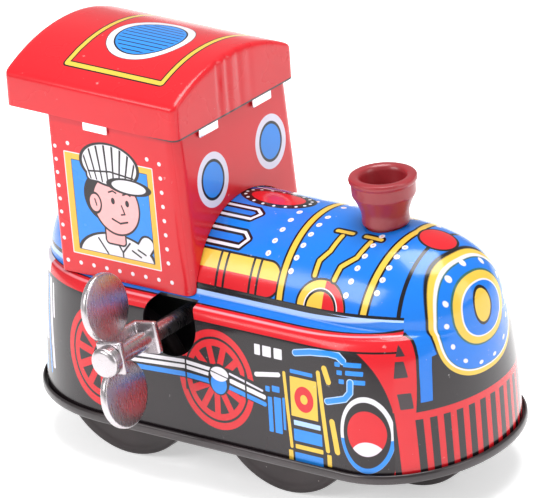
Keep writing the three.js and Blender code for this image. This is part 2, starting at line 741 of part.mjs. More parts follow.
// A pressed wheel: a flat disc with a turned-in rim and a raised hub.
const WHEEL_SIDES = 40;

function wheel(axleX, side, face = WHEEL_FACE) {
  const profile = [
    [AXLE_RADIUS + 0.05, 0],
    [3.4, 0],
    [3.9, 0.6],
    [WHEEL_RADIUS - 1.2, 0.5],
    [WHEEL_RADIUS - 0.4, 0.3],
    [WHEEL_RADIUS, 0.8],
    [WHEEL_RADIUS, WHEEL_WIDTH],
    [WHEEL_RADIUS - 0.8, WHEEL_WIDTH],
    [WHEEL_RADIUS - 1.2, 1.4],
    [AXLE_RADIUS + 0.05, 1.4],
    [AXLE_RADIUS + 0.05, 0]
  ];
  const turned = lathe(profile, WHEEL_SIDES);
  const facing = side < 0 ? [-90, 0, 0] : [90, 0, 0];
  return turned.rotate(facing).translate([axleX, side * face, WHEEL_RADIUS]);
}

add('rear_wheel_right', wheel(DRIVE_AXLE_X, -1), 'wheel_black');
add('rear_wheel_left', wheel(DRIVE_AXLE_X, 1), 'wheel_black');

// ---------------------------------------------------------------- middle axle, wheels and bracket

add('middle_axle', barY(
  AXLE_RADIUS,
  FRONT_AXLE_X,
  WHEEL_RADIUS,
  -WHEEL_FACE - 0.5,
  WHEEL_FACE + 0.5,
  24
), 'steel');
add('middle_wheel_right', wheel(FRONT_AXLE_X, -1), 'wheel_black');
add('middle_wheel_left', wheel(FRONT_AXLE_X, 1), 'wheel_black');

const EAR_Y = PLATE_OUT + 1.4;
const earShape = polygon([
  [FRONT_AXLE_X - BRACKET_HALF, FLOOR_TOP + GAP],
  [FRONT_AXLE_X + BRACKET_HALF, FLOOR_TOP + GAP],
  [FRONT_AXLE_X + 1.9, WHEEL_RADIUS + 2.4],
  [FRONT_AXLE_X - 1.9, WHEEL_RADIUS + 2.4]
]);
earShape.holes.push(roundHole(AXLE_RADIUS + RUN, FRONT_AXLE_X, WHEEL_RADIUS));
add('middle_bracket', box(
  FRONT_AXLE_X - BRACKET_HALF,
  FRONT_AXLE_X + BRACKET_HALF,
  -EAR_Y,
  EAR_Y,
  FLOOR_TOP + GAP,
  FLOOR_TOP + GAP + 0.8
)
  .add(plateY(earShape, -EAR_Y, -EAR_Y + 0.8))
  .add(plateY(earShape, EAR_Y - 0.8, EAR_Y)), 'steel');

// ---------------------------------------------------------------- pilot axle under the nose

const PILOT_EAR = PILOT_FACE + 1.5;
const pilotEar = polygon([
  [PILOT_AXLE_X - 3, FLOOR_TOP + GAP],
  [PILOT_AXLE_X + 3, FLOOR_TOP + GAP],
  [PILOT_AXLE_X + 1.9, WHEEL_RADIUS + 2.4],
  [PILOT_AXLE_X - 1.9, WHEEL_RADIUS + 2.4]
]);
pilotEar.holes.push(roundHole(AXLE_RADIUS + RUN, PILOT_AXLE_X, WHEEL_RADIUS));
for (const [name, side] of [['pilot_bracket_right', -1], ['pilot_bracket_left', 1]]) {
  const inner = side * PILOT_EAR;
  const outer = side * (PILOT_EAR + 0.8);
  const foot = side * (PILOT_EAR + 3.4);
  add(name, plateY(pilotEar, Math.min(inner, outer), Math.max(inner, outer)).add(box(
    PILOT_AXLE_X - 3,
    PILOT_AXLE_X + 3,
    Math.min(inner, foot),
    Math.max(inner, foot),
    FLOOR_TOP + GAP,
    FLOOR_TOP + GAP + 0.8
  )), 'steel');
}
const PILOT_END = PILOT_EAR + 1.6;
add('pilot_axle', barY(AXLE_RADIUS, PILOT_AXLE_X, WHEEL_RADIUS, -PILOT_END, PILOT_END, 24), 'steel');
add('pilot_wheel_right', wheel(PILOT_AXLE_X, -1, PILOT_FACE), 'wheel_black');
add('pilot_wheel_left', wheel(PILOT_AXLE_X, 1, PILOT_FACE), 'wheel_black');

// ---------------------------------------------------------------- escapement

const ESCAPE_Y0 = SECOND_Y1 + 1.4;
const ESCAPE_Y1 = ESCAPE_Y0 + 0.8;
const ESCAPE_RADIUS = 3.9;
add('escape_arbor', barY(PIVOT_RADIUS, arborE.x, arborE.z, -PLATE_OUT - 0.6, PLATE_OUT + 0.6, 20), 'steel');
const escapePhase = () => {
  const meshAngle = bearing(arborB, arborE);
  const step = (2 * Math.PI) / SECOND_TEETH;
  const off = (meshAngle - secondFirst) / step;
  const gap = (off - Math.round(off)) * step;
  const share = gap * (SECOND_TEETH / ESCAPE_PINION_TEETH);
  return bearing(arborE, arborB) + halfStep(ESCAPE_PINION_TEETH) + share;
};
add('escape_pinion', onArbor(
  gearShape(ESCAPE_PINION_TEETH, escapePhase(), PIVOT_RADIUS + 0.05),
  arborE,
  SECOND_Y0 - 0.4,
  SECOND_Y1 + 0.4
), 'steel');

const escapeShape = (() => {
  const teeth = 12;
  const points = [];
  for (let i = 0; i < teeth; i += 1) {
    const t = (2 * Math.PI * i) / teeth;
    points.push([ESCAPE_RADIUS * Math.cos(t), ESCAPE_RADIUS * Math.sin(t)]);
    points.push([(ESCAPE_RADIUS - 1.1) * Math.cos(t + 0.2), (ESCAPE_RADIUS - 1.1) * Math.sin(t + 0.2)]);
  }
  const shape = polygon(points);
  shape.holes.push(roundHole(PIVOT_RADIUS + 0.05));
  return shape;
})();
add('escape_wheel', onArbor(escapeShape, arborE, ESCAPE_Y0, ESCAPE_Y1), 'brass');

add('pallet_arbor', barY(PIVOT_RADIUS, arborF.x, arborF.z, -PLATE_OUT - 0.6, PLATE_OUT + 0.6, 20), 'steel');
const palletShape = polygon([
  [1.4, -3.4],
  [2.0, -3.0],
  [1.6, -1.2],
  [1.6, 1.2],
  [2.0, 3.0],
  [1.4, 3.4],
  [-0.4, 2.0],
  [-3.0, 1.0],
  [-3.0, -1.0],
  [-0.4, -2.0]
]);
palletShape.holes.push(roundHole(PIVOT_RADIUS + 0.05));
const palletTurn = THREE.MathUtils.radToDeg(bearing(arborF, arborE));
add('pallet_lever', plateY(palletShape, ESCAPE_Y0, ESCAPE_Y1)
  .rotate([0, -palletTurn, 0])
  .translate([arborF.x, 0, arborF.z]), 'steel');

// ---------------------------------------------------------------- place on the frame

// The origin stands on the ground under the middle of the whole model, key included.
const SIDE_SHIFT = KEY_REACH / 2;
for (const mesh of root.children) {
  mesh.geometry.translate(0, SIDE_SHIFT, 0);
}

export default root;
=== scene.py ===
# %% [markdown]
# # A tin clockwork train
# The engine is a pressed tin body with printed panels, a crimped base, a moulded plastic chimney,
# a steel key and blackened wheels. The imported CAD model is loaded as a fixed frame, and each visible
# piece is made again here with a finer surface and its own procedural finish.

# %% Load the frame
import math
import bmesh
import bpy
from mathutils import Matrix, Vector


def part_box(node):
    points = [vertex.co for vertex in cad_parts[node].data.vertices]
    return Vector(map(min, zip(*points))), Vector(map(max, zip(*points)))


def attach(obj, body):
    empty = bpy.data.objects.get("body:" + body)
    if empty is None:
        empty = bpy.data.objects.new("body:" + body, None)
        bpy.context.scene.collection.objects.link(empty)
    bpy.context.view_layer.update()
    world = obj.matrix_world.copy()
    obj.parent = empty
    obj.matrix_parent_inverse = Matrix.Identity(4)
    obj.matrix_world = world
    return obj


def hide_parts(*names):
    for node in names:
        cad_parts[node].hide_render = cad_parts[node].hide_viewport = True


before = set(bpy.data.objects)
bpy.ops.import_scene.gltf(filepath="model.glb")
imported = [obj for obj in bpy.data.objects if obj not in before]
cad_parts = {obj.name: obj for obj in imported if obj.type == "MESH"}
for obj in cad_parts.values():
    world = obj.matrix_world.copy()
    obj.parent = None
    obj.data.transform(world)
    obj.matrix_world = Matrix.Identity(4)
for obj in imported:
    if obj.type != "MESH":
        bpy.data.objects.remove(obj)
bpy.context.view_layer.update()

# %% [markdown]
# Sizes are written in millimetres about the engine's own centre plane. The key stands out to one side,
# so the centre plane lies a little to the left of the frame's origin.

# %% Millimetres and the centre plane
MM = 0.001
CENTRE_Y = (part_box("base_plate")[0].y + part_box("base_plate")[1].y) / 2 / MM


def at(x, y, z):
    return Vector((x, y + CENTRE_Y, z)) * MM


print("centre plane at y =", round(CENTRE_Y, 2), "mm")

# %% [markdown]
# Printed tin is one flat picture made of clean-edged inks. Each panel's picture is drawn by a material
# that measures how far a point is from each printed shape and lays one ink over the last, as the
# printer did. The helper below keeps the picture's place in millimetres on the panel.

# %% A printer of inks
INK = {
    "red": (0.62, 0.012, 0.02),
    # eave_shade_red is a darker red used only for the painted shade under the roof's eave
    "eave_shade_red": (0.52, 0.012, 0.022),
    "pink": (0.90, 0.30, 0.34),
    "skin": (0.86, 0.40, 0.40),
    "blue": (0.008, 0.17, 0.66),
    "sky": (0.022, 0.235, 0.74),
    # pale_blue is a print ink on the skirt's pipes, and it is also the painted highlight along the running
    # board and the boiler's foot
    "pale_blue": (0.40, 0.58, 0.93),
    "yellow": (0.74, 0.48, 0.06),
    "orange": (0.74, 0.43, 0.05),
    "white": (0.74, 0.71, 0.76),
    "lavender": (0.70, 0.66, 0.76),
    "charcoal": (0.016, 0.011, 0.013),
    "black": (0.008, 0.007, 0.009),
    "green": (0.03, 0.12, 0.10),
    # brown is a print ink, and it also draws the painted shadow line along the roof's lower edge
    "brown": (0.045, 0.03, 0.035),
}


class Print:
    """A printed panel: shapes are measured in millimetres and inks are laid one over another."""

    def __init__(self, name, ground, roughness=0.24, soft=0.07):
        self.material = bpy.data.materials.new(name)
        self.material.use_nodes = True
        self.tree = self.material.node_tree
        self.tree.nodes.clear()
        self.soft = soft
        self.ink = (*INK[ground], 1)
        self.roughness = roughness
        coordinates = self.node("ShaderNodeTexCoord")
        self.place = self.vector("MULTIPLY_ADD", coordinates.outputs["Object"],
                                 (1 / MM, 1 / MM, 1 / MM), (0, -CENTRE_Y, 0))
        split = self.node("ShaderNodeSeparateXYZ")
        self.join(self.place, split.inputs[0])
        self.x, self.y, self.z = split.outputs
        self.pane = None

    def node(self, kind):
        return self.tree.nodes.new(kind)

    def join(self, source, socket):
        if isinstance(source, bpy.types.NodeSocket):
            self.tree.links.new(source, socket)
        else:
            socket.default_value = source

    def vector(self, operation, *values):
        step = self.node("ShaderNodeVectorMath")
        step.operation = operation
        for value, socket in zip(values, step.inputs):
            self.join(value, socket)
        return step.outputs["Value"] if operation in ("DOT_PRODUCT", "LENGTH") else step.outputs["Vector"]

    def sum(self, operation, *values, clamp=False):
        step = self.node("ShaderNodeMath")
        step.operation = operation
        step.use_clamp = clamp
        for value, socket in zip(values, step.inputs):
            self.join(value, socket)
        return step.outputs[0]

    def lay_on(self, u, v):
        """The panel's own two directions: everything drawn after this is measured along them."""
        both = self.node("ShaderNodeCombineXYZ")
        self.join(u, both.inputs[0])
        self.join(v, both.inputs[1])
        self.u, self.v = u, v
        self.pane = both.outputs[0]

    def within(self, distance, edge=0.0, soft=None):
        """1 where the distance is below the edge, 0 beyond it, with a thin soft border."""
        width = soft or self.soft
        return self.sum("MULTIPLY_ADD", distance, -1 / width, edge / width + 0.5, clamp=True)

    def both(self, a, b):
        return self.sum("MULTIPLY", a, b)

    def lay(self, mask, ink):
        blend = self.node("ShaderNodeMix")
        blend.data_type = "RGBA"
        self.join(mask, blend.inputs["Factor"])
        self.join(self.ink, blend.inputs[6])
        self.join((*INK[ink], 1), blend.inputs[7])
        self.ink = blend.outputs[2]

    def oval(self, u, v, a, b):
        """Distance from an oval's edge, in millimetres near the edge."""
        size = min(a, b)
        scaled = self.vector("MULTIPLY_ADD", self.pane, (1 / a, 1 / b, 0), (-u / a, -v / b, 0))
        return self.sum("MULTIPLY_ADD", self.vector("LENGTH", scaled), size, -size)

    def slab(self, u0, u1, v0, v1, corner=0.15, hollow=False):
        """Distance from a rectangle with rounded corners; a hollow one is measured inwards as well."""
        middle = ((u0 + u1) / 2, (v0 + v1) / 2, 0)
        reach = ((u1 - u0) / 2 - corner, (v1 - v0) / 2 - corner, 1)
        away = self.vector("ABSOLUTE", self.vector("SUBTRACT", self.pane, middle))
        past = self.vector("SUBTRACT", away, reach)
        outside = self.vector("MAXIMUM", past, (0, 0, 0))
        if not hollow:
            return self.sum("SUBTRACT", self.vector("LENGTH", outside), corner)
        split = self.node("ShaderNodeSeparateXYZ")
        self.join(past, split.inputs[0])
        inside = self.sum("MINIMUM", self.sum("MAXIMUM", split.outputs[0], split.outputs[1]), 0.0)
        return self.sum("SUBTRACT", self.sum("ADD", self.vector("LENGTH", outside), inside), corner)

    def line(self, *points):
        """Distance from a bent line through the points."""
        nearest = None
        for (u0, v0), (u1, v1) in zip(points, points[1:]):
            run = (u1 - u0, v1 - v0, 0)
            square = run[0] ** 2 + run[1] ** 2
            start = self.vector("SUBTRACT", self.pane, (u0, v0, 0))
            share = self.sum("MULTIPLY", self.vector("DOT_PRODUCT", start, run), 1 / square, clamp=True)
            along = self.node("ShaderNodeVectorMath")
            along.operation = "SCALE"
            along.inputs[0].default_value = run
            self.join(share, along.inputs["Scale"])
            away = self.vector("LENGTH", self.vector("SUBTRACT", start, along.outputs[0]))
            nearest = away if nearest is None else self.sum("MINIMUM", nearest, away)
        return nearest

    def row(self, across, along, spacing, first, last, radius, ink="white"):
        """Dots at an even spacing: across is the distance from the row's line."""
        turns = self.sum("FRACT", self.sum("MULTIPLY_ADD", along, 1 / spacing, 0.5 - first / spacing))
        offset = self.sum("MULTIPLY_ADD", turns, spacing, -spacing / 2)
        both = self.node("ShaderNodeCombineXYZ")
        self.join(across, both.inputs[0])
        self.join(offset, both.inputs[1])
        away = self.vector("LENGTH", both.outputs[0])
        middle = (first + last) / 2
        span = self.sum("ABSOLUTE", self.sum("SUBTRACT", along, middle))
        inside = self.within(span, (last - first) / 2 + spacing / 2)
        self.lay(self.both(self.within(away, radius), inside), ink)
        return away, inside

    def finish(self, wear=0.5, coat=0.35):
        """Varnished tin: the inks under a thin clear coat, with rubbed spots and faint waves."""
        objects = self.node("ShaderNodeTexCoord").outputs["Object"]
        cloud = self.node("ShaderNodeTexNoise")
        cloud.inputs["Scale"].default_value = 60
        cloud.inputs["Detail"].default_value = 4
        self.join(objects, cloud.inputs["Vector"])
        shade = self.sum("MULTIPLY_ADD", cloud.outputs[0], 0.22, 0.89)
        toned = self.vector("SCALE", self.ink)
        self.join(shade, toned.node.inputs["Scale"])
        grain = self.node("ShaderNodeTexNoise")
        grain.inputs["Scale"].default_value = 900
        grain.inputs["Detail"].default_value = 3
        self.join(objects, grain.inputs["Vector"])
        rubbed = self.sum("MULTIPLY_ADD", grain.outputs[0], 12.0, -8.6 + 0.6 * (wear - 0.5), clamp=True)
        spots = self.node("ShaderNodeMix")
        spots.data_type = "RGBA"
        self.join(self.sum("MULTIPLY", rubbed, 0.35), spots.inputs["Factor"])
        self.join(toned, spots.inputs[6])
        spots.inputs[7].default_value = (0.62, 0.60, 0.60, 1)
        rough = self.sum("MULTIPLY_ADD", cloud.outputs[0], 0.14, self.roughness - 0.07)
        waves = self.node("ShaderNodeTexNoise")
        waves.inputs["Scale"].default_value = 45
        waves.inputs["Detail"].default_value = 1
        self.join(objects, waves.inputs["Vector"])
        height = self.sum("MULTIPLY_ADD", grain.outputs[0], 0.05, self.sum("MULTIPLY", waves.outputs[0], 0.9))
        bump = self.node("ShaderNodeBump")
        bump.inputs["Strength"].default_value = 0.25
        bump.inputs["Distance"].default_value = 0.0004
        self.join(height, bump.inputs["Height"])
        shader = self.node("ShaderNodeBsdfPrincipled")
        self.join(spots.outputs[2], shader.inputs["Base Color"])
        self.join(rough, shader.inputs["Roughness"])
        self.join(bump.outputs[0], shader.inputs["Normal"])
        shader.inputs["Metallic"].default_value = 0.0
        shader.inputs["Specular IOR Level"].default_value = 0.25
        shader.inputs["Coat Weight"].default_value = coat
        shader.inputs["Coat Roughness"].default_value = 0.12
        out = self.node("ShaderNodeOutputMaterial")
        self.join(shader.outputs[0], out.inputs[0])
        print(self.material.name, "has", len(self.tree.nodes), "nodes")
        return self.material


# %% [markdown]
# The skirt's picture shows the running gear the toy doesn't have: spoked wheels, rods, pipes and a
# cylinder. It reads the same on both sides, so it is measured by length along the engine and height.
# The red band and the running board follow the bend of the tin, so they use the height along the
# sheet that the body's mesh carries.

# %% The skirt's printed running gear
def spoked_wheel(ink, centre, height, reach, rise):
    scaled = ink.vector("MULTIPLY_ADD", ink.pane, (1 / reach, 1 / rise, 0),
                        (-centre / reach, -height / rise, 0))
    radius = ink.vector("LENGTH", scaled)
    split = ink.node("ShaderNodeSeparateXYZ")
    ink.join(scaled, split.inputs[0])
    angle = ink.sum("ARCTAN2", split.outputs[1], split.outputs[0])
    spokes = 11
    turn = ink.sum("FRACT", ink.sum("MULTIPLY_ADD", angle, spokes / (2 * math.pi), 0.3))
    aside = ink.sum("ABSOLUTE", ink.sum("SUBTRACT", turn, 0.5))
    offset = ink.sum("MULTIPLY", ink.sum("MULTIPLY", aside, radius), 2 * math.pi / spokes)
    ink.lay(ink.within(radius, 1.0, 0.012), "red")
    ink.lay(ink.within(radius, 0.86, 0.012), "black")
    ink.lay(ink.within(radius, 0.81, 0.012), "red")
    ink.lay(ink.within(radius, 0.68, 0.012), "charcoal")
    ink.lay(ink.both(ink.within(offset, 0.075, 0.012), ink.within(radius, 0.72, 0.012)), "red")
    ink.lay(ink.within(radius, 0.24, 0.012), "charcoal")


def print_skirt():
    ink = Print("skirt_print", "charcoal", roughness=0.26)
    ink.lay_on(ink.x, ink.z)
    spoked_wheel(ink, -21.8, 20.6, 8.1, 9.4)
    spoked_wheel(ink, 3.2, 21.2, 8.0, 9.1)
    rear_rod = ink.line((-17.5, 21.6), (-3.6, 22.3), (2.4, 22.0))
    ink.lay(ink.within(rear_rod, 2.0), "black")
    ink.lay(ink.within(ink.line((-17.5, 22.4), (-3.7, 23.35), (1.9, 22.95)), 0.33), "white")
    ink.lay(ink.within(ink.line((-17.5, 21.3), (-3.8, 22.35), (1.7, 21.95)), 0.33), "white")
    ink.lay(ink.within(ink.line((-17.5, 20.2), (-3.9, 20.95), (1.6, 20.7)), 0.45), "sky")
    front_rod = ink.line((5.6, 21.9), (13.2, 20.1))
    ink.lay(ink.within(front_rod, 1.9), "black")
    ink.lay(ink.within(ink.line((6.1, 22.9), (12.9, 21.2)), 0.2), "lavender")
    ink.lay(ink.within(ink.line((6.3, 21.6), (13.2, 20.1)), 0.42), "white")
    ink.lay(ink.within(ink.line((5.8, 20.4), (13.3, 18.8)), 0.42), "sky")
    for joint in (-3.4, 9.4):
        ink.lay(ink.within(ink.line((joint, 24.3), (joint, 18.4)), 0.18), "black")
    ink.lay(ink.within(ink.oval(3.7, 21.4, 2.3, 2.9)), "black")
    ink.lay(ink.within(ink.oval(3.6, 20.6, 1.7, 1.9)), "sky")
    ink.lay(ink.within(ink.oval(3.8, 22.4, 1.9, 1.3)), "white")
    ink.lay(ink.within(ink.line((2.0, 22.7), (5.7, 21.9)), 0.1), "black")
    for left, right in ((11.6, 12.8), (13.3, 15.1), (15.7, 17.4)):
        ink.lay(ink.within(ink.slab(left, right, 27.6, 29.5)), "white")
    ink.lay(ink.within(ink.line((11.8, 24.0), (16.5, 24.8)), 0.42), "white")
    for left, right, low, high in ((14.0, 14.9, 14.0, 20.4), (15.3, 16.8, 14.0, 20.6),
                                   (17.1, 17.6, 14.9, 20.8),
                                   (13.6, 14.5, 21.3, 22.3), (15.0, 16.6, 21.5, 22.6),
                                   (19.0, 23.7, 25.7, 26.4), (19.2, 25.1, 13.4, 15.6),
                                   (19.2, 25.1, 9.3, 11.3)):
        ink.lay(ink.within(ink.slab(left, right, low, high)), "sky")
    ink.lay(ink.within(ink.slab(19.3, 24.9, 16.3, 17.2)), "pale_blue")
    ink.lay(ink.within(ink.slab(18.9, 24.5, 17.9, 25.1)), "yellow")
    ink.lay(ink.within(ink.oval(21.7, 21.3, 2.0, 2.35)), "red")
    ink.lay(ink.within(ink.oval(21.7, 21.3, 0.75, 0.85)), "yellow")
    ink.lay(ink.within(ink.slab(19.4, 25.2, 12.0, 12.8)), "yellow")
    for start, end, half in (((17.7, 25.4), (18.6, 12.2), 0.32), ((24.9, 26.8), (26.2, 12.9), 0.42),
                             ((26.2, 27.8), (27.0, 25.6), 0.55), ((27.4, 18.4), (28.2, 13.1), 0.55)):
        ink.lay(ink.within(ink.line(start, end), half), "yellow")
    ink.lay(ink.within(ink.slab(17.9, 18.8, 9.4, 11.5)), "yellow")
    ink.lay(ink.within(ink.slab(26.0, 26.9, 10.0, 12.2)), "yellow")
    upper_pipe = ink.line((20.2, 29.5), (23.3, 30.2), (27.0, 30.6), (28.8, 30.4), (29.8, 29.6))
    ink.lay(ink.within(upper_pipe, 0.62), "pale_blue")
    ink.lay(ink.within(upper_pipe, 0.45), "sky")
    for height, left in ((29.0, 28.3), (27.6, 28.7), (26.1, 29.1)):
        ink.lay(ink.within(ink.slab(left, left + 1.0, height - 0.4, height + 0.4)), "sky")
        ink.lay(ink.within(ink.slab(left + 1.6, left + 4.7, height - 0.3, height + 0.5)), "sky")
    lower_pipe = ink.line((31.2, 26.1), (31.2, 24.3), (30.2, 23.1), (26.6, 22.0))
    ink.lay(ink.within(lower_pipe, 0.62), "pale_blue")
    ink.lay(ink.within(lower_pipe, 0.46), "sky")
    lamp = ink.oval(33.7, 16.9, 4.6, 6.9)
    ink.lay(ink.within(lamp), "white")
    ink.lay(ink.both(ink.within(lamp), ink.within(ink.z, 16.0)), "sky")
    ink.lay(ink.within(lamp, -0.62), "charcoal")
    disc = ink.oval(33.8, 17.2, 3.3, 4.1)
    ink.lay(ink.within(disc), "red")
    ink.lay(ink.both(ink.within(disc), ink.within(ink.oval(33.9, 12.3, 3.2, 3.4))), "lavender")
    print_band(ink)
    for start, end, half, colour in (((-36.6, 30.2), (-35.9, 14.5), 0.42, "lavender"),
                                     ((-37.7, 30.5), (-37.2, 13.0), 0.28, "sky"),
                                     ((-35.4, 29.8), (-35.2, 24.0), 0.25, "white"),
                                     ((-39.6, 30.0), (-38.6, 19.0), 0.5, "white"),
                                     ((-41.0, 16.5), (-40.2, 13.0), 0.9, "sky")):
        ink.lay(ink.within(ink.line(start, end), half), colour)
    return ink.finish()


# %% [markdown]
# The band and the running board run the whole length of the body. Towards the nose they climb, and the
# band turns down into the red corner column, with an oval edge inside the bend.

# %% The band along the shoulder
BAND_LOW, BAND_HIGH, BOARD_HIGH = 22.1, 25.5, 29.0


def print_band(ink):
    carried = ink.node("ShaderNodeUVMap")
    carried.uv_map = "sheet"
    split = ink.node("ShaderNodeSeparateXYZ")
    ink.join(carried.outputs[0], split.inputs[0])
    along = ink.sum("MULTIPLY", split.outputs[1], 100.0)
    ahead = ink.sum("MAXIMUM", ink.sum("SUBTRACT", ink.x, 18.0), 0.0)
    climb = ink.sum("MULTIPLY", ink.sum("POWER", ahead, 2.0), -0.006)
    height = ink.sum("ADD", along, climb)
    outside = ink.sum("MULTIPLY", ink.oval(28.0, 16.0, 10.6, 16.2), -1.0)
    corner = ink.both(ink.within(outside), ink.within(ink.sum("SUBTRACT", 31.0, ink.x)))
    corner = ink.both(corner, ink.within(height, BAND_HIGH))
    ink.lay(corner, "red")
    above = ink.within(ink.sum("SUBTRACT", BAND_LOW, along))
    ink.lay(above, "red")
    ink.lay(ink.within(ink.sum("ABSOLUTE", ink.sum("SUBTRACT", along, BAND_LOW)), 0.16), "black")
    glint = ink.sum("ABSOLUTE", ink.sum("SUBTRACT", height, BAND_HIGH - 1.0))
    ink.lay(ink.within(glint, 0.3, 0.3), "pink")
    ink.lay(ink.both(ink.within(ink.x, -37.0), above), "white")
    ink.lay(ink.within(ink.sum("SUBTRACT", BAND_HIGH, height)), "black")
    ink.lay(ink.within(ink.sum("SUBTRACT", BAND_HIGH + 0.4, height)), "blue")
    # painted highlight: a pale blue strip just below the board's inner black line, where light catches the
    # crease
    ink.lay(ink.within(ink.sum("SUBTRACT", BOARD_HIGH - 1.2, height), soft=0.3), "pale_blue")
    ink.lay(ink.within(ink.sum("SUBTRACT", BOARD_HIGH - 0.35, height)), "black")


# %% [markdown]
# The boiler's picture wraps round the barrel, so it is measured along the engine and round the barrel
# from the running board up to the crown. The same millimetres then stay true on the curved tin.

# %% The boiler's bands, pipes and rivets
SHOULDER_Z = 33.1
AXIS_Z = SHOULDER_Z - 1.1
ROUND_THE_BARREL = 15.0


def print_boiler():
    ink = Print("boiler_print", "blue", roughness=0.2)
    aside = ink.sum("ABSOLUTE", ink.y)
    upward = ink.sum("SUBTRACT", ink.z, AXIS_Z)
    angle = ink.sum("ARCTAN2", upward, aside)
    ink.lay_on(ink.x, ink.sum("MULTIPLY", angle, ROUND_THE_BARREL))
    for low, high, bend in ((16.9, 19.4, 2.4), (11.2, 14.0, 3.1)):
        tip = (bend + 1.3, (high + low) / 2 + 0.3)
        pipe = ink.line((-8, high), (bend, high), tip, (bend, low), (-8, low))
        ink.lay(ink.within(pipe, 0.75), "black")
        ink.lay(ink.within(pipe, 0.27), "lavender")
    tank = ink.slab(-8, 13.2, 3.9, 9.8, corner=2.6)
    ink.lay(ink.within(tank, 0.4), "black")
    ink.lay(ink.within(tank), "red")
    ink.lay(ink.both(ink.within(tank), ink.within(ink.sum("SUBTRACT", 6.8, ink.v))), "yellow")
    for strap in (1.0, 8.0):
        for edge in (-0.75, 0.75):
            ink.lay(ink.within(ink.line((strap + edge, 3.9), (strap + edge, 10.0)), 0.24), "black")
    arch_place = (22.4, 3.9)
    for radius, left, right in ((5.2, "black", "black"), (4.8, "yellow", "red"), (3.5, "white", "white"),
                                (3.3, "black", "black"), (2.85, "yellow", "red")):
        disc = ink.within(ink.oval(*arch_place, radius, radius))
        ink.lay(disc, left)
        if right != left:
            ink.lay(ink.both(disc, ink.within(ink.sum("SUBTRACT", 22.7, ink.x))), right)
    for points in (((21.5, 17.4), (21.1, 13.9), (19.9, 11.8), (20.0, 9.2)),
                   ((27.4, 17.4), (26.7, 13.7), (24.5, 11.5), (24.1, 9.1))):
        stem = ink.line(*points)
        top = points[0]
        cap = ink.line((top[0] - 1.6, top[1] + 1.0), (top[0] + 1.6, top[1] + 1.0))
        ink.lay(ink.within(ink.sum("MINIMUM", stem, cap), 0.8), "black")
        ink.lay(ink.within(stem, 0.42), "yellow")
        ink.lay(ink.within(cap, 0.36), "yellow")
    for foot, lean in ((13.8, 0.0), (30.5, 0.11)):
        band = ink.sum("ABSOLUTE", ink.sum("SUBTRACT", ink.x, ink.sum("MULTIPLY_ADD", ink.v, lean, foot)))
        ink.lay(ink.within(band, 0.95), "black")
        ink.lay(ink.within(band, 0.55), "yellow")
    for foot, lean, first, last in ((8.6, 0.07, 11.2, 20.4), (14.5, 0.065, 9.0, 21.4),
                                    (26.4, 0.11, 7.0, 21.6), (31.9, 0.1, 8.5, 18.2)):
        across = ink.sum("SUBTRACT", ink.x, ink.sum("MULTIPLY_ADD", ink.v, lean, foot))
        away, inside = ink.row(across, ink.v, 2.45, first, last, 0.52)
        ink.lay(ink.both(ink.within(away, 0.17), inside), "pink")
    ink.lay(ink.within(ink.sum("ABSOLUTE", ink.sum("SUBTRACT", ink.x, 37.1)), 0.34), "black")
    ahead = ink.sum("MAXIMUM", ink.sum("SUBTRACT", ink.x, 18.0), 0.0)
    foot_line = ink.sum("SUBTRACT", ink.v, ink.sum("MULTIPLY", ink.sum("POWER", ahead, 2.0), 0.003))
    ink.lay(ink.within(foot_line, 3.9), "black")
    # painted highlight: pale blue under the boiler's black foot line, the light on the crease carried up onto
    # the barrel
    ink.lay(ink.within(foot_line, 3.35), "pale_blue")
    ink.lay_on(ink.x, ink.y)
    print_hatch(ink)
    print_nose_lamp(ink)
    return ink.finish(coat=0.5)


def print_hatch(ink):
    hatch = (3.2, 0.8, 7.8, 3.6)
    scaled = ink.vector("MULTIPLY_ADD", ink.pane, (1 / hatch[2], 1 / hatch[3], 0),
                        (-hatch[0] / hatch[2], -hatch[1] / hatch[3], 0))
    radius = ink.vector("LENGTH", scaled)
    upper = ink.within(ink.sum("SUBTRACT", AXIS_Z, ink.z))
    ink.lay(ink.both(ink.within(radius, 1.0, 0.03), upper), "black")
    ink.lay(ink.both(ink.within(radius, 0.7, 0.03), upper), "red")
    for index in range(18):
        turn = 2 * math.pi * index / 18
        u = hatch[0] + hatch[2] * 0.86 * math.cos(turn)
        v = hatch[1] + hatch[3] * 0.86 * math.sin(turn)
        ink.lay(ink.within(ink.oval(u, v, 0.3, 0.27)), "white")


def print_nose_lamp(ink):
    lamp = ink.oval(36.8, 0.4, 3.1, 3.0)
    ink.lay(ink.within(lamp, 0.4), "black")
    ink.lay(ink.within(lamp), "red")


# %% [markdown]
# The nose is printed as a smokebox door in rings, over a cowcatcher of upright bars. It is measured
# across the engine and in height, as one looks at the engine from the front.

# %% The nose and the cowcatcher
def ring_radius(ink, middle, height, half, rise, drop, power):
    """1 on the ring's outer edge; the ring is taller above its centre than below it."""
    aside = ink.sum("ABSOLUTE", ink.sum("SUBTRACT", ink.y, middle))
    upward = ink.sum("SUBTRACT", ink.z, height)
    above = ink.sum("MAXIMUM", upward, 0.0)
    below = ink.sum("MAXIMUM", ink.sum("MULTIPLY", upward, -1.0), 0.0)
    total = ink.sum("POWER", ink.sum("MULTIPLY", aside, 1 / half), power)
    total = ink.sum("ADD", total, ink.sum("POWER", ink.sum("MULTIPLY", above, 1 / rise), power))
    total = ink.sum("ADD", total, ink.sum("POWER", ink.sum("MULTIPLY", below, 1 / drop), power))
    return ink.sum("POWER", total, 1 / power)


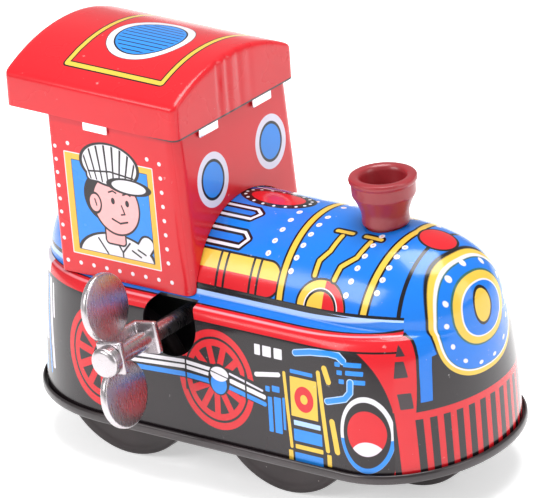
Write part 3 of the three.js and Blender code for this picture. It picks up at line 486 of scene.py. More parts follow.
def print_nose():
    ink = Print("nose_print", "charcoal", roughness=0.2)
    aside = ink.sum("ABSOLUTE", ink.y)
    ink.lay_on(aside, ink.z)
    ink.lay(ink.within(ink.sum("SUBTRACT", 32.4, ink.z)), "blue")
    inboard = ink.sum("SUBTRACT", ink.sum("MULTIPLY_ADD", ink.z, -0.144, 17.88), aside)
    column = ink.within(inboard, 0.35)
    pillar = ink.line((11.9, 33.0), (12.65, 28.0), (13.5, 20.0))
    shoulder = ink.line((11.7, 36.0), (11.7, 31.6))
    standing = ink.within(ink.sum("SUBTRACT", 22.2, ink.z))
    ink.lay(ink.both(ink.within(pillar, 1.1), standing), "black")
    ink.lay(ink.both(ink.within(shoulder, 2.0), ink.within(ink.z, 31.9)), "black")
    ink.lay(ink.both(ink.within(pillar, 0.85), standing), "blue")
    ink.lay(ink.within(shoulder, 1.75), "blue")
    ink.lay(ink.both(column, ink.within(ink.z, 33.9)), "black")
    ink.lay(ink.both(ink.within(inboard), ink.within(ink.z, 33.4)), "red")
    for v, height in ((15.4, 31.9), (15.8, 28.3), (15.9, 22.8)):
        ink.lay(ink.within(ink.slab(v - 0.8, v + 0.8, height - 1.4, height + 1.4)), "brown")
    lower = ink.within(ink.z, 20.6)
    ink.lay(lower, "red")
    around = ink.sum("MULTIPLY_ADD", ink.sum("MULTIPLY", ink.y, ink.y), 0.0006, 1.0)
    around = ink.sum("MULTIPLY", ink.y, around)
    across = ink.sum("FRACT", ink.sum("MULTIPLY_ADD", around, 1 / 2.75, 0.5))
    bar = ink.sum("ABSOLUTE", ink.sum("SUBTRACT", across, 0.5))
    openings = ink.both(ink.within(bar, 0.27, 0.05), ink.within(ink.z, 19.3))
    ink.lay(ink.both(openings, ink.within(aside, 15.6)), "charcoal")
    ink.lay(ink.both(ink.within(ink.sum("SUBTRACT", 17.4, aside)), ink.within(ink.z, 21.0)), "charcoal")
    outer = ring_radius(ink, -0.9, 32.0, 9.7, 12.2, 8.0, 2.4)
    for edge, colour in ((1.03, "black"), (1.0, "yellow")):
        ink.lay(ink.within(outer, edge, 0.012), colour)
    outer = ring_radius(ink, -0.9, 32.0, 9.15, 11.6, 7.2, 2.4)
    for edge, colour in ((1.0, "white"), (0.965, "green"), (0.95, "blue")):
        ink.lay(ink.within(outer, edge, 0.012), colour)
    outer = ring_radius(ink, -0.9, 33.2, 7.5, 9.7, 7.3, 2.3)
    turn = ink.sum("ARCTAN2", ink.sum("SUBTRACT", ink.z, 33.6), ink.sum("ADD", ink.y, 0.9))
    dots = 13
    step = ink.sum("FRACT", ink.sum("MULTIPLY_ADD", turn, dots / (2 * math.pi), 0.2))
    sideways = ink.sum("MULTIPLY", ink.sum("SUBTRACT", step, 0.5), 0.33)
    apart = ink.node("ShaderNodeCombineXYZ")
    ink.join(sideways, apart.inputs[0])
    ink.join(ink.sum("MULTIPLY", ink.sum("SUBTRACT", outer, 1.0), 0.9), apart.inputs[1])
    ink.lay(ink.within(ink.vector("LENGTH", apart.outputs[0]), 0.042, 0.012), "white")
    inner = ring_radius(ink, -1.1, 35.2, 6.1, 6.2, 5.8, 2.2)
    for edge, colour in ((1.05, "green"), (1.0, "yellow"), (0.80, "white"), (0.76, "blue")):
        ink.lay(ink.within(inner, edge, 0.016), colour)
    ink.lay_on(ink.y, ink.z)
    heart = ink.oval(-1.3, 36.0, 1.9, 2.9)
    ink.lay(ink.within(heart, 0.35), "black")
    ink.lay(ink.within(heart), "yellow")
    ink.lay_on(ink.x, ink.y)
    print_nose_lamp(ink)
    return ink.finish(coat=0.5)


# %% [markdown]
# The cab's side is red with a border of rivets and a framed window, darkened by a painted shade band just
# under the eave.
# The driver behind it is drawn as a plain, calm railwayman in a striped cap: an oval head, an ear, two eyes,
# a small mouth and a collar.

# %% The cab's printed side
def print_cab_side():
    ink = Print("cab_side_print", "red", roughness=0.25)
    ink.lay_on(ink.x, ink.z)
    ink.row(ink.sum("SUBTRACT", ink.x, -31.3), ink.z, 2.46, 39.6, 57.0, 0.36)
    ink.row(ink.sum("SUBTRACT", ink.x, -8.5), ink.z, 2.62, 39.02, 57.6, 0.38)
    ink.row(ink.sum("SUBTRACT", ink.z, 35.5), ink.x, 2.85, -30.9, -8.1, 0.38)
    for u in (-28.4, -11.1):
        ink.lay(ink.within(ink.oval(u, 57.8, 0.38, 0.38)), "white")
    frame_edge = ink.slab(-29.5, -10.1, 37.2, 56.3, corner=0.2, hollow=True)
    ink.lay(ink.within(frame_edge), "white")
    ink.lay(ink.within(frame_edge, -0.18), "orange")
    # painted shade: the top of the cab side darkens into a soft band just under the roof's eave
    ink.lay(ink.within(ink.sum("SUBTRACT", 61.5, ink.z), 0.0, 0.5), "eave_shade_red")
    glass = ink.slab(-27.9, -11.5, 38.3, 54.9, corner=0.1)
    ink.lay(ink.within(glass, 0.12), "brown")
    ink.lay(ink.within(glass), "sky")
    draw_shirt(ink, ink.within(glass))
    draw_head(ink)
    draw_cap(ink)
    return ink.finish()


# %% The driver's shirt
def draw_shirt(ink, window):
    body = ink.oval(-19.6, 37.6, 8.0, 4.6)
    arm = ink.line((-15.4, 38.0), (-12.8, 41.6))
    cloth = ink.sum("MINIMUM", body, ink.sum("SUBTRACT", arm, 1.35))
    ink.lay(ink.both(ink.within(cloth, 0.4), window), "charcoal")
    ink.lay(ink.both(ink.within(cloth), window), "white")
    for points in (((-23.5, 41.0), (-21.6, 38.4)), ((-19.8, 41.6), (-18.3, 39.2), (-16.6, 41.2)),
                   ((-18.3, 39.2), (-18.3, 38.0)), ((-16.2, 39.9), (-14.4, 39.0)),
                   ((-14.9, 40.3), (-13.3, 39.6))):
        ink.lay(ink.both(ink.within(ink.line(*points), 0.17), window), "charcoal")


# %% The driver's head
def draw_head(ink):
    neck = ink.slab(-21.6, -17.6, 40.6, 45.0, corner=0.6)
    ink.lay(ink.within(neck, 0.35), "charcoal")
    ink.lay(ink.within(neck), "skin")
    hair = ink.oval(-21.6, 48.9, 4.0, 4.3)
    ink.lay(ink.within(hair, 0.2), "charcoal")
    face = ink.oval(-18.9, 47.9, 4.9, 5.3)
    ink.lay(ink.within(face, 0.36), "charcoal")
    ink.lay(ink.within(face), "skin")
    ear = ink.oval(-23.5, 47.6, 1.15, 1.6)
    ink.lay(ink.within(ear, 0.34), "charcoal")
    ink.lay(ink.within(ear), "skin")
    ink.lay(ink.within(ink.line((-23.5, 48.3), (-23.2, 47.2)), 0.15), "charcoal")
    for eye in (-19.5, -16.4):
        ink.lay(ink.within(ink.oval(eye, 48.6, 0.42, 0.62)), "charcoal")
        brow = ink.line((eye - 0.8, 50.1), (eye + 0.1, 50.5), (eye + 0.8, 50.2))
        ink.lay(ink.within(brow, 0.16), "charcoal")
    ink.lay(ink.within(ink.line((-17.7, 48.0), (-17.1, 46.5), (-17.9, 46.3)), 0.15), "charcoal")
    ink.lay(ink.within(ink.line((-20.0, 45.2), (-18.3, 44.6), (-16.7, 45.1)), 0.18), "charcoal")


# %% The driver's cap
def draw_cap(ink):
    crown = ink.sum("MINIMUM", ink.oval(-19.6, 55.2, 5.9, 3.7),
                    ink.slab(-24.6, -14.5, 51.9, 55.4, corner=0.8))
    ink.lay(ink.within(crown, 0.42), "charcoal")
    ink.lay(ink.within(crown), "white")
    fan = ink.sum("DIVIDE", ink.sum("SUBTRACT", ink.x, -19.6), ink.sum("SUBTRACT", ink.z, 38.0))
    stripe = ink.sum("ABSOLUTE", ink.sum("SUBTRACT", ink.sum("FRACT", ink.sum("MULTIPLY", fan, 11.5)), 0.5))
    ink.lay(ink.both(ink.within(stripe, 0.13, 0.05), ink.within(crown, -0.1)), "charcoal")
    band = ink.line((-24.3, 53.4), (-19.6, 54.0), (-14.6, 53.5))
    ink.lay(ink.within(band, 0.17), "charcoal")
    peak = ink.oval(-15.7, 51.8, 3.7, 1.15)
    ink.lay(ink.within(peak, 0.38), "charcoal")
    ink.lay(ink.within(peak), "white")


# %% [markdown]
# The cab's front carries two round windows and the rear wall is plain with rivets. Both are measured
# across the engine.

# %% The cab's front and rear prints
def print_cab_front():
    ink = Print("cab_front_print", "red", roughness=0.3)
    ink.lay_on(ink.y, ink.z)
    for place in ((-7.5, 52.0), (9.2, 52.9)):
        pane = ink.oval(*place, 4.3, 4.9)
        ink.lay(ink.within(pane), "lavender")
        ink.lay(ink.within(pane, -1.1), "black")
        ink.lay(ink.within(pane, -1.55), "sky")
    return ink.finish()


def print_cab_rear():
    ink = Print("cab_rear_print", "red", roughness=0.3)
    ink.lay_on(ink.y, ink.z)
    for place in (-13.9, 13.9):
        ink.row(ink.sum("SUBTRACT", ink.y, place), ink.z, 2.6, 36.4, 57.6, 0.38)
    return ink.finish()


# %% [markdown]
# The roof has one picture on its top, a yellow line frame round an oval ventilator, and plain red along its
# turned-down edge, with a painted shadow line along the bottom of that edge.

# %% The roof's print
def print_roof():
    ink = Print("roof_print", "red", roughness=0.27)
    ink.lay_on(ink.x, ink.y)
    border = ink.slab(-30.4, -9.0, -12.9, 12.9, corner=0.6, hollow=True)
    top = ink.within(ink.sum("SUBTRACT", 69.6, ink.z))
    ink.lay(ink.both(ink.within(border, 0.28), top), "black")
    ink.lay(ink.both(ink.within(border), top), "yellow")
    ink.lay(ink.both(ink.within(border, -0.85), top), "black")
    ink.lay(ink.both(ink.within(border, -1.1), top), "red")
    # painted shadow: a thin brown line along the lower border of the turned-down edge stands in for the shade
    # in the gap below it
    eave_shadow_height = ink.sum("MULTIPLY_ADD", ink.x, 0.0227, 62.29)
    ink.lay(ink.within(ink.sum("SUBTRACT", ink.z, eave_shadow_height), 0.32), "brown")
    oval = ink.oval(-20.4, -0.9, 7.6, 7.9)
    ink.lay(ink.within(oval, 0.12), "brown")
    ink.lay(ink.within(oval), "white")
    ink.lay(ink.within(oval, -1.25), "black")
    ink.lay(ink.within(oval, -1.55), "sky")
    pitches = ink.sum("FRACT", ink.sum("MULTIPLY", ink.y, 1 / 1.15))
    bars = ink.sum("ABSOLUTE", ink.sum("SUBTRACT", pitches, 0.5))
    ink.lay(ink.both(ink.within(bars, 0.11, 0.05), ink.within(oval, -1.9)), "black")
    return ink.finish()


PRINTS = {
    "skirt": print_skirt(),
    "boiler": print_boiler(),
    "nose": print_nose(),
    "cab_side": print_cab_side(),
    "cab_front": print_cab_front(),
    "cab_rear": print_cab_rear(),
    "roof": print_roof(),
}

# %% [markdown]
# The body is one pressing. It is lofted upward from its foot: a ring of edges is extruded again and
# again, and each new ring is moved to the next outline. A small number on every vertex remembers its
# place round the ring, so the rings stay in step. The length along the sheet goes into a UV map.

# %% Lofting rings
def loft(rings, low_cap=True, high_cap=True, sheet=None):
    """A mesh of rings, each a list of points in millimetres; sheet gives each ring's height along the tin."""
    mesh = bmesh.new()
    place = mesh.verts.layers.int.new("place")
    carried = mesh.verts.layers.float.new("carried")
    first = [mesh.verts.new(at(*point)) for point in rings[0]]
    for index, vertex in enumerate(first):
        vertex[place] = index
    edges = [mesh.edges.new((first[i - 1], first[i])) for i in range(len(first))]
    ends = [list(edges)]
    for level, ring in enumerate(rings[1:], 1):
        made = bmesh.ops.extrude_edge_only(mesh, edges=edges)["geom"]
        fresh = {item for item in made if isinstance(item, bmesh.types.BMVert)}
        for vertex in fresh:
            vertex.co = at(*ring[vertex[place]])
            vertex[carried] = sheet[level] if sheet else 0.0
        edges = [item for item in made if isinstance(item, bmesh.types.BMEdge) and set(item.verts) <= fresh]
    ends.append(edges)
    for edge_ring, wanted in zip(ends, (low_cap, high_cap)):
        if wanted:
            bmesh.ops.contextual_create(mesh, geom=edge_ring)
    bmesh.ops.recalc_face_normals(mesh, faces=mesh.faces)
    if sheet:
        layer = mesh.loops.layers.uv.new("sheet")
        for face in mesh.faces:
            for corner in face.loops:
                corner[layer].uv = (0.0, corner.vert[carried] / 100)
    return mesh


def piece(mesh, name, materials, body="frame", replaces=(), smooth_angle=35):
    """Turns a bmesh into a piece of the engine that rides on a body."""
    data = bpy.data.meshes.new(name)
    mesh.to_mesh(data)
    mesh.free()
    made = bpy.data.objects.new(name, data)
    bpy.context.scene.collection.objects.link(made)
    for material in materials:
        data.materials.append(material)
    settle(made, smooth_angle)
    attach(made, body)
    if replaces:
        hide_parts(*replaces)
    print(name, len(made.data.polygons), "faces")
    return made


def settle(made, smooth_angle):
    """Works out an object's modifiers into its mesh and smooths it up to the given angle."""
    bpy.context.view_layer.update()
    graph = bpy.context.evaluated_depsgraph_get()
    data = bpy.data.meshes.new_from_object(made.evaluated_get(graph))
    data.name = made.name
    made.modifiers.clear()
    made.data = data
    data.set_sharp_from_angle(angle=math.radians(smooth_angle))
    data.polygons.foreach_set("use_smooth", [True] * len(data.polygons))
    data.update()


# %% [markdown]
# The body's outline at any height is a pair of rounded ends joined by straight flanks. These are the
# same proportions the CAD body has, with many more steps.

# %% The body's outline
LENGTH, WIDTH, BOILER_WIDTH, BOILER_TOP = 94.1, 43.8, 31.0, 46.9
RIM_Z = 10.0
RIM_OUT = 0.9
FOOT_HALF = WIDTH / 2 - RIM_OUT
FRONT_X = LENGTH / 2 - RIM_OUT
REAR_X = -FRONT_X
FLOOR_TOP = RIM_Z - 1.2
SHELL_FOOT = FLOOR_TOP + 0.3
BARREL_HALF = BOILER_WIDTH / 2
BARREL_RISE = BOILER_TOP - AXIS_Z
NOSE_LENGTH, TAIL_LENGTH = LENGTH * 0.23, LENGTH * 0.19
NOSE_BULGE, TAIL_DRAW = 0.5, 2.0
NOSE_CENTRE = FRONT_X + NOSE_BULGE - NOSE_LENGTH
TAIL_CENTRE = REAR_X + TAIL_DRAW + TAIL_LENGTH
TIN = 0.5


def skirt_level(share, drawn_in, bulge, reach, power):
    return {"z": SHELL_FOOT + share * (SHOULDER_Z - SHELL_FOOT), "half": FOOT_HALF - drawn_in,
            "front": FRONT_X + bulge, "rear": REAR_X + min(TAIL_DRAW, drawn_in * 1.8),
            "nose": reach * LENGTH, "tail": 0.26 * LENGTH, "nose_power": power, "tail_power": 2.1}


def boiler_level(angle):
    z = AXIS_Z + BARREL_RISE * math.sin(angle)
    over = min(1.0, max(0.0, (z - SHOULDER_Z) / (BOILER_TOP - SHOULDER_Z)))
    nose = max(0.0, 1 - over ** 2.6) ** (1 / 2.6)
    tail = max(0.0, 1 - over ** 2.1) ** (1 / 2.1)
    return {"z": z, "half": BARREL_HALF * math.cos(angle), "front": NOSE_CENTRE + NOSE_LENGTH * nose,
            "rear": TAIL_CENTRE - TAIL_LENGTH * tail, "nose": NOSE_LENGTH * nose, "tail": TAIL_LENGTH * tail,
            "nose_power": 2.2, "tail_power": 2.0}


def through(levels, steps):
    """A smooth run of levels through the given ones."""
    run = []
    for index in range(len(levels) - 1):
        before = levels[max(index - 1, 0)]
        start, end = levels[index], levels[index + 1]
        after = levels[min(index + 2, len(levels) - 1)]
        for step in range(steps):
            t = step / steps
            run.append({key: 0.5 * (2 * start[key] + (end[key] - before[key]) * t
                                    + (2 * before[key] - 5 * start[key] + 4 * end[key] - after[key]) * t * t
                                    + (3 * start[key] - before[key] - 3 * end[key] + after[key]) * t ** 3)
                        for key in start})
    run.append(levels[-1])
    return run


def outline(level, grow=0.0, arc_steps=44, flank_steps=10):
    half, nose, tail = level["half"] + grow, level["nose"] + grow, level["tail"] + grow
    nose_x, tail_x = level["front"] - level["nose"], level["rear"] + level["tail"]
    ring = []

    def arc(centre, reach, power, way, start, end):
        for step in range(arc_steps + 1):
            t = start + (end - start) * step / arc_steps
            c = abs(math.cos(t)) ** (2 / power)
            s = math.copysign(abs(math.sin(t)) ** (2 / power), math.sin(t))
            ring.append((centre + way * reach * c, half * s))

    arc(nose_x, nose, level["nose_power"], 1, -math.pi / 2, math.pi / 2)
    ring.extend((nose_x + (tail_x - nose_x) * i / flank_steps, half) for i in range(1, flank_steps))
    arc(tail_x, tail, level["tail_power"], -1, math.pi / 2, -math.pi / 2)
    ring.extend((tail_x + (nose_x - tail_x) * i / flank_steps, -half) for i in range(1, flank_steps))
    return ring


# %% [markdown]
# The side of the body bends in a few places only: it draws in towards the shoulder, rolls over onto the
# running board and climbs into the barrel. The printed panels meet at the board's inner line and at one
# upright plane near the nose, where the sheet is cut so that each face holds one picture.

# %% The body pressing
LEDGE = FOOT_HALF - 1.3 - BARREL_HALF
NOSE_PLANE_X = 38.0
BOILER_FOOT_ANGLE = 0.24
side_levels = [skirt_level(0, 0, 0, 0.18, 2.05), skirt_level(0.5, 0.5, 0, 0.185, 2.05),
               skirt_level(0.82, 1.0, 0.3, 0.22, 2.0), skirt_level(0.93, 1.4, 0.45, 0.25, 2.0),
               skirt_level(0.985, 2.2, NOSE_BULGE, 0.26, 2.0),
               skirt_level(1, 1.3 + 0.55 * LEDGE, NOSE_BULGE, 0.25, 2.1), boiler_level(0.12),
               boiler_level(BOILER_FOOT_ANGLE)]
body_levels = through(side_levels, 5)
BARREL_STEPS = 30
body_levels += [boiler_level(BOILER_FOOT_ANGLE + (math.pi / 2 - 0.02 - BOILER_FOOT_ANGLE) * i / BARREL_STEPS)
                for i in range(1, BARREL_STEPS + 1)]
sheet_heights = [0.0]
for lower, upper in zip(body_levels, body_levels[1:]):
    step_up = math.hypot(upper["z"] - lower["z"], upper["half"] - lower["half"])
    sheet_heights.append(sheet_heights[-1] + step_up)
foot_height = sheet_heights[len(body_levels) - 1 - BARREL_STEPS]
body = loft([[(x, y, level["z"]) for x, y in outline(level)] for level in body_levels],
            low_cap=False, sheet=sheet_heights)
bmesh.ops.bisect_plane(body, geom=body.verts[:] + body.edges[:] + body.faces[:],
                       plane_co=at(NOSE_PLANE_X, 0, 0), plane_no=(1, 0, 0), dist=1e-6)
sheet_map = body.loops.layers.uv["sheet"]
for face in body.faces:
    height = sum(corner[sheet_map].uv.y for corner in face.loops) / len(face.loops) * 100
    if face.calc_center_median().x > NOSE_PLANE_X * MM:
        face.material_index = 2
    elif height > foot_height:
        face.material_index = 1
print("running board's inner line lies", round(foot_height, 2), "mm up the sheet")


# %% [markdown]
# Holes are cut by subtracting a plug. The plug is a short lived object that the Boolean modifier reads
# once; the result is kept and the plug is thrown away.

# %% Cutting holes
def cut(made, plug_mesh, solver="EXACT"):
    data = bpy.data.meshes.new("plug")
    plug_mesh.to_mesh(data)
    plug_mesh.free()
    plug = bpy.data.objects.new("plug", data)
    bpy.context.scene.collection.objects.link(plug)
    modifier = made.modifiers.new("cut", "BOOLEAN")
    modifier.operation = "DIFFERENCE"
    modifier.solver = solver
    modifier.object = plug
    settle(made, 35)
    bpy.data.objects.remove(plug)


def round_plug(radius, start, end, sides=64):
    """A round plug between two points in millimetres."""
    mesh = bmesh.new()
    middle = (at(*start) + at(*end)) / 2
    run = at(*end) - at(*start)
    turn = run.to_track_quat("Z", "Y").to_matrix().to_4x4()
    bmesh.ops.create_cone(mesh, cap_ends=True, segments=sides, radius1=radius * MM, radius2=radius * MM,
                          depth=run.length, matrix=Matrix.Translation(middle) @ turn)
    return mesh


def block(x0, x1, y0, y1, z0, z1):
    mesh = bmesh.new()
    middle = at((x0 + x1) / 2, (y0 + y1) / 2, (z0 + z1) / 2)
    size = Vector((x1 - x0, y1 - y0, z1 - z0)) * MM
    bmesh.ops.create_cube(mesh, size=1.0, matrix=Matrix.Translation(middle) @ Matrix.Diagonal((*size, 1)))
    return mesh


# %% The finished body
body_data = bpy.data.meshes.new("body_tin")
body.to_mesh(body_data)
body.free()
body_tin = bpy.data.objects.new("body_tin", body_data)
bpy.context.scene.collection.objects.link(body_tin)
for panel in ("skirt", "boiler", "nose"):
    body_data.materials.append(PRINTS[panel])
wall = body_tin.modifiers.new("wall", "SOLIDIFY")
wall.thickness = TIN * MM
wall.offset = -1
settle(body_tin, 40)
arbor_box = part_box("winding_arbor")
ARBOR_X = (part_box("ratchet_wheel")[0].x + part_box("ratchet_wheel")[1].x) / 2 / MM
ARBOR_Z = (arbor_box[0].z + arbor_box[1].z) / 2 / MM
KEY_HOLE, KEY_HOLE_X, KEY_HOLE_Z = 5.7, ARBOR_X + 0.6, ARBOR_Z + 0.4
cut(body_tin, round_plug(KEY_HOLE, (KEY_HOLE_X, -30, KEY_HOLE_Z), (KEY_HOLE_X, -16.4, KEY_HOLE_Z)))
chimney_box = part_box("chimney")
CHIMNEY_X = (chimney_box[0].x + chimney_box[1].x) / 2 / MM
cut(body_tin, round_plug(3.7, (CHIMNEY_X, 0, 42), (CHIMNEY_X, 0, 52)))
settle(body_tin, 40)
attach(body_tin, "frame")
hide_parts("body_shell")
print("body_tin", len(body_tin.data.polygons), "faces")

# %% [markdown]
# Bare metals and plastics get their own finishes: a metal's brushed streaks, tarnish clouds and small
# scratches, or a moulding's faint flow lines. One maker serves them all with different numbers.

# %% Bare metal, blacking and plastic
def plain_finish(name, colour, metallic, roughness, streak=(1, 1, 1), spread=0.25, bump_depth=0.3, specks=0.0,
                 scale=300, coat=0.0):
    material = bpy.data.materials.new(name)
    material.use_nodes = True
    nodes, links = material.node_tree.nodes, material.node_tree.links
    nodes.clear()
    out = nodes.new("ShaderNodeOutputMaterial")
    shader = nodes.new("ShaderNodeBsdfPrincipled")
    shader.inputs["Metallic"].default_value = metallic
    shader.inputs["Coat Weight"].default_value = coat
    shader.inputs["Coat Roughness"].default_value = 0.15
    links.new(shader.outputs[0], out.inputs[0])
    coordinates = nodes.new("ShaderNodeTexCoord")
    stretch = nodes.new("ShaderNodeMapping")
    stretch.inputs["Scale"].default_value = streak
    links.new(coordinates.outputs["Object"], stretch.inputs["Vector"])
    grain = nodes.new("ShaderNodeTexNoise")
    grain.inputs["Scale"].default_value = scale
    grain.inputs["Detail"].default_value = 6
    links.new(stretch.outputs[0], grain.inputs["Vector"])
    cloud = nodes.new("ShaderNodeTexNoise")
    cloud.inputs["Scale"].default_value = 90
    cloud.inputs["Detail"].default_value = 3
    links.new(coordinates.outputs["Object"], cloud.inputs["Vector"])
    tone = nodes.new("ShaderNodeValToRGB")
    tone.color_ramp.elements[0].position = 0.3
    tone.color_ramp.elements[1].position = 0.72
    tone.color_ramp.elements[0].color = (*(c * (1 - spread) for c in colour), 1)
    tone.color_ramp.elements[1].color = (*(min(1, c * (1 + spread)) for c in colour), 1)
    links.new(cloud.outputs[0], tone.inputs["Fac"])
    surface = tone.outputs[0]
    if specks:
        dust = nodes.new("ShaderNodeTexVoronoi")
        dust.inputs["Scale"].default_value = 420
        links.new(coordinates.outputs["Object"], dust.inputs["Vector"])
        near = nodes.new("ShaderNodeMath")
        near.operation = "LESS_THAN"
        near.inputs[1].default_value = specks
        links.new(dust.outputs["Distance"], near.inputs[0])
        blend = nodes.new("ShaderNodeMix")
        blend.data_type = "RGBA"
        links.new(near.outputs[0], blend.inputs["Factor"])
        links.new(surface, blend.inputs[6])
        blend.inputs[7].default_value = (0.30, 0.26, 0.25, 1)
        surface = blend.outputs[2]
    links.new(surface, shader.inputs["Base Color"])
    rough = nodes.new("ShaderNodeMapRange")
    rough.inputs["To Min"].default_value = roughness * 0.75
    rough.inputs["To Max"].default_value = roughness * 1.3
    links.new(grain.outputs[0], rough.inputs["Value"])
    links.new(rough.outputs[0], shader.inputs["Roughness"])
    bump = nodes.new("ShaderNodeBump")
    bump.inputs["Strength"].default_value = bump_depth
    bump.inputs["Distance"].default_value = 0.0001
    links.new(grain.outputs[0], bump.inputs["Height"])
    links.new(bump.outputs[0], shader.inputs["Normal"])
    return material


FINISH = {
    "bare_tin": plain_finish("bare_tin", (0.78, 0.78, 0.80), 0.9, 0.22, spread=0.08, scale=500),
    "black_rim": plain_finish("black_rim", (0.03, 0.022, 0.024), 0.2, 0.3, spread=0.35, specks=0.05,
                              coat=0.3),
    "wheel_black": plain_finish("wheel_black", (0.03, 0.022, 0.023), 0.25, 0.36, spread=0.3, specks=0.07),
    "chimney_plastic": plain_finish("chimney_plastic", (0.30, 0.018, 0.025), 0.0, 0.34, streak=(1, 1, 9),
                                    spread=0.14, bump_depth=0.35, scale=120, coat=0.2),
    "nickel": plain_finish("nickel", (0.56, 0.52, 0.54), 1.0, 0.27, streak=(1, 7, 1), spread=0.14, scale=420),
    "steel": plain_finish("steel", (0.48, 0.49, 0.51), 1.0, 0.32, streak=(8, 1, 1), spread=0.2, scale=350),
    "spring_steel": plain_finish("spring_steel", (0.20, 0.25, 0.34), 1.0, 0.28, streak=(1, 9, 1),
                                 spread=0.35),
    "brass": plain_finish("brass", (0.62, 0.42, 0.15), 1.0, 0.3, streak=(1, 8, 1), spread=0.22),
}
WORKS = {
    "steel": ("motor_plate_right", "motor_plate_left", "pillar_front", "pillar_top", "pillar_rear",
              "ratchet_wheel", "click", "second_arbor", "second_pinion", "drive_axle", "axle_pinion",
              "middle_axle", "middle_bracket", "pilot_bracket_right", "pilot_bracket_left", "pilot_axle",
              "escape_arbor", "escape_pinion", "pallet_arbor", "pallet_lever", "chimney_washer"),
    "brass": ("great_wheel", "second_wheel", "escape_wheel", "click_rivet"),
    "spring_steel": ("mainspring",),
}
for finish, names in WORKS.items():
    for name in names:
        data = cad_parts[name].data
        data.materials.clear()
        data.materials.append(FINISH[finish])
print("bare finishes:", ", ".join(FINISH))

# %% [markdown]
# The base plate's edge is crimped round the foot of the body as a thick rolled rim. It is one closed
# loft: under the floor, out and over the roll, and back down inside to the floor, with slots cut for
# the wheels.

# %% The crimped base
foot_level = skirt_level(0, 0, 0, 0.18, 2.05)
rim_profile = [(0.0, 8.2), (0.45, 8.22), (0.74, 8.36), (0.89, 8.66), (0.9, 9.15), (0.86, 9.55), (0.74, 9.85),
               (0.56, 9.98), (0.4, 9.94), (0.31, 9.8), (0.3, 9.3), (0.3, FLOOR_TOP)]
base = loft([[(x, y, z) for x, y in outline(foot_level, grow)] for grow, z in rim_profile])
base_data = bpy.data.meshes.new("base_rim")
base.to_mesh(base_data)
base.free()
base_rim = bpy.data.objects.new("base_rim", base_data)
bpy.context.scene.collection.objects.link(base_rim)
base_data.materials.append(FINISH["black_rim"])
SLOT_MARGIN = 0.8
for wheel_name in ("rear_wheel_right", "rear_wheel_left", "middle_wheel_right", "middle_wheel_left"):
    low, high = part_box(wheel_name)
    hub_x = (low.x + high.x) / 2 / MM
    radius = (high.x - low.x) / 2 / MM
    reach = math.sqrt(radius ** 2 - (radius - FLOOR_TOP) ** 2) + SLOT_MARGIN
    cut(base_rim, block(hub_x - reach, hub_x + reach, low.y / MM - CENTRE_Y - SLOT_MARGIN,
                        high.y / MM - CENTRE_Y + SLOT_MARGIN, 7, FLOOR_TOP + 0.5))
pilot_low, pilot_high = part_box("pilot_wheel_right")[0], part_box("pilot_wheel_left")[1]
hub_x = (pilot_low.x + pilot_high.x) / 2 / MM
cut(base_rim, block(hub_x - reach, hub_x + reach, pilot_low.y / MM - CENTRE_Y - SLOT_MARGIN,
                    pilot_high.y / MM - CENTRE_Y + SLOT_MARGIN, 7, FLOOR_TOP + 0.5))
settle(base_rim, 50)
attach(base_rim, "frame")
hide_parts("base_plate")
print("base_rim", len(base_rim.data.polygons), "faces")

# %% [markdown]
# Wheels and the chimney are turned shapes. Half of the section is drawn as a chain of edges and spun
# once round its axis.

# %% Turning a section
def turned(profile, centre, axis, steps=96, closed=True):
    """Spins a section (radius, height) about an axis through the centre, in millimetres."""
    mesh = bmesh.new()
    points = [mesh.verts.new(Vector((radius, 0, height)) * MM) for radius, height in profile]
    pairs = list(zip(points, points[1:])) + ([(points[-1], points[0])] if closed else [])
    edges = [mesh.edges.new(pair) for pair in pairs]
    bmesh.ops.spin(mesh, geom=points + edges, axis=(0, 0, 1), cent=(0, 0, 0), angle=2 * math.pi, steps=steps,
                   use_merge=True)
    bmesh.ops.remove_doubles(mesh, verts=mesh.verts, dist=1e-6)
    bmesh.ops.recalc_face_normals(mesh, faces=mesh.faces)
    turn = Vector(axis).to_track_quat("Z", "Y").to_matrix().to_4x4()
    bmesh.ops.transform(mesh, verts=mesh.verts, matrix=Matrix.Translation(centre) @ turn)
    return mesh


# %% The six pressed wheels
def pressed_wheel(node, body_name):
    low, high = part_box(node)
    radius = (high.x - low.x) / 2 / MM
    width = (high.y - low.y) / MM
    outward = 1 if (low.y + high.y) / 2 / MM > CENTRE_Y else -1
    bore = 1.15
    profile = [(bore, width), (3.1, width), (3.45, width - 0.12), (3.8, width - 0.55), (4.3, width - 0.7),
               (radius - 2.2, width - 0.62), (radius - 1.5, width - 0.42), (radius - 0.9, width - 0.2),
               (radius - 0.45, width - 0.2), (radius - 0.12, width - 0.34), (radius, width - 0.7),
               (radius, 0.2), (radius - 0.15, 0.0), (radius - 0.75, 0.0), (radius - 0.85, 0.3),
               (radius - 0.95, 1.1), (radius - 1.5, 1.25), (bore, 1.25)]
    middle = Vector(((low.x + high.x) / 2, low.y if outward > 0 else high.y, (low.z + high.z) / 2))
    piece(turned(profile, middle, (0, outward, 0)), node + "_pressed", [FINISH["wheel_black"]], body_name,
          replaces=(node,))


for node, body_name in (("rear_wheel_right", "rear_axle"), ("rear_wheel_left", "rear_axle"),
                        ("middle_wheel_right", "middle_axle_set"), ("middle_wheel_left", "middle_axle_set"),
                        ("pilot_wheel_right", "pilot_axle_set"), ("pilot_wheel_left", "pilot_axle_set")):
    pressed_wheel(node, body_name)

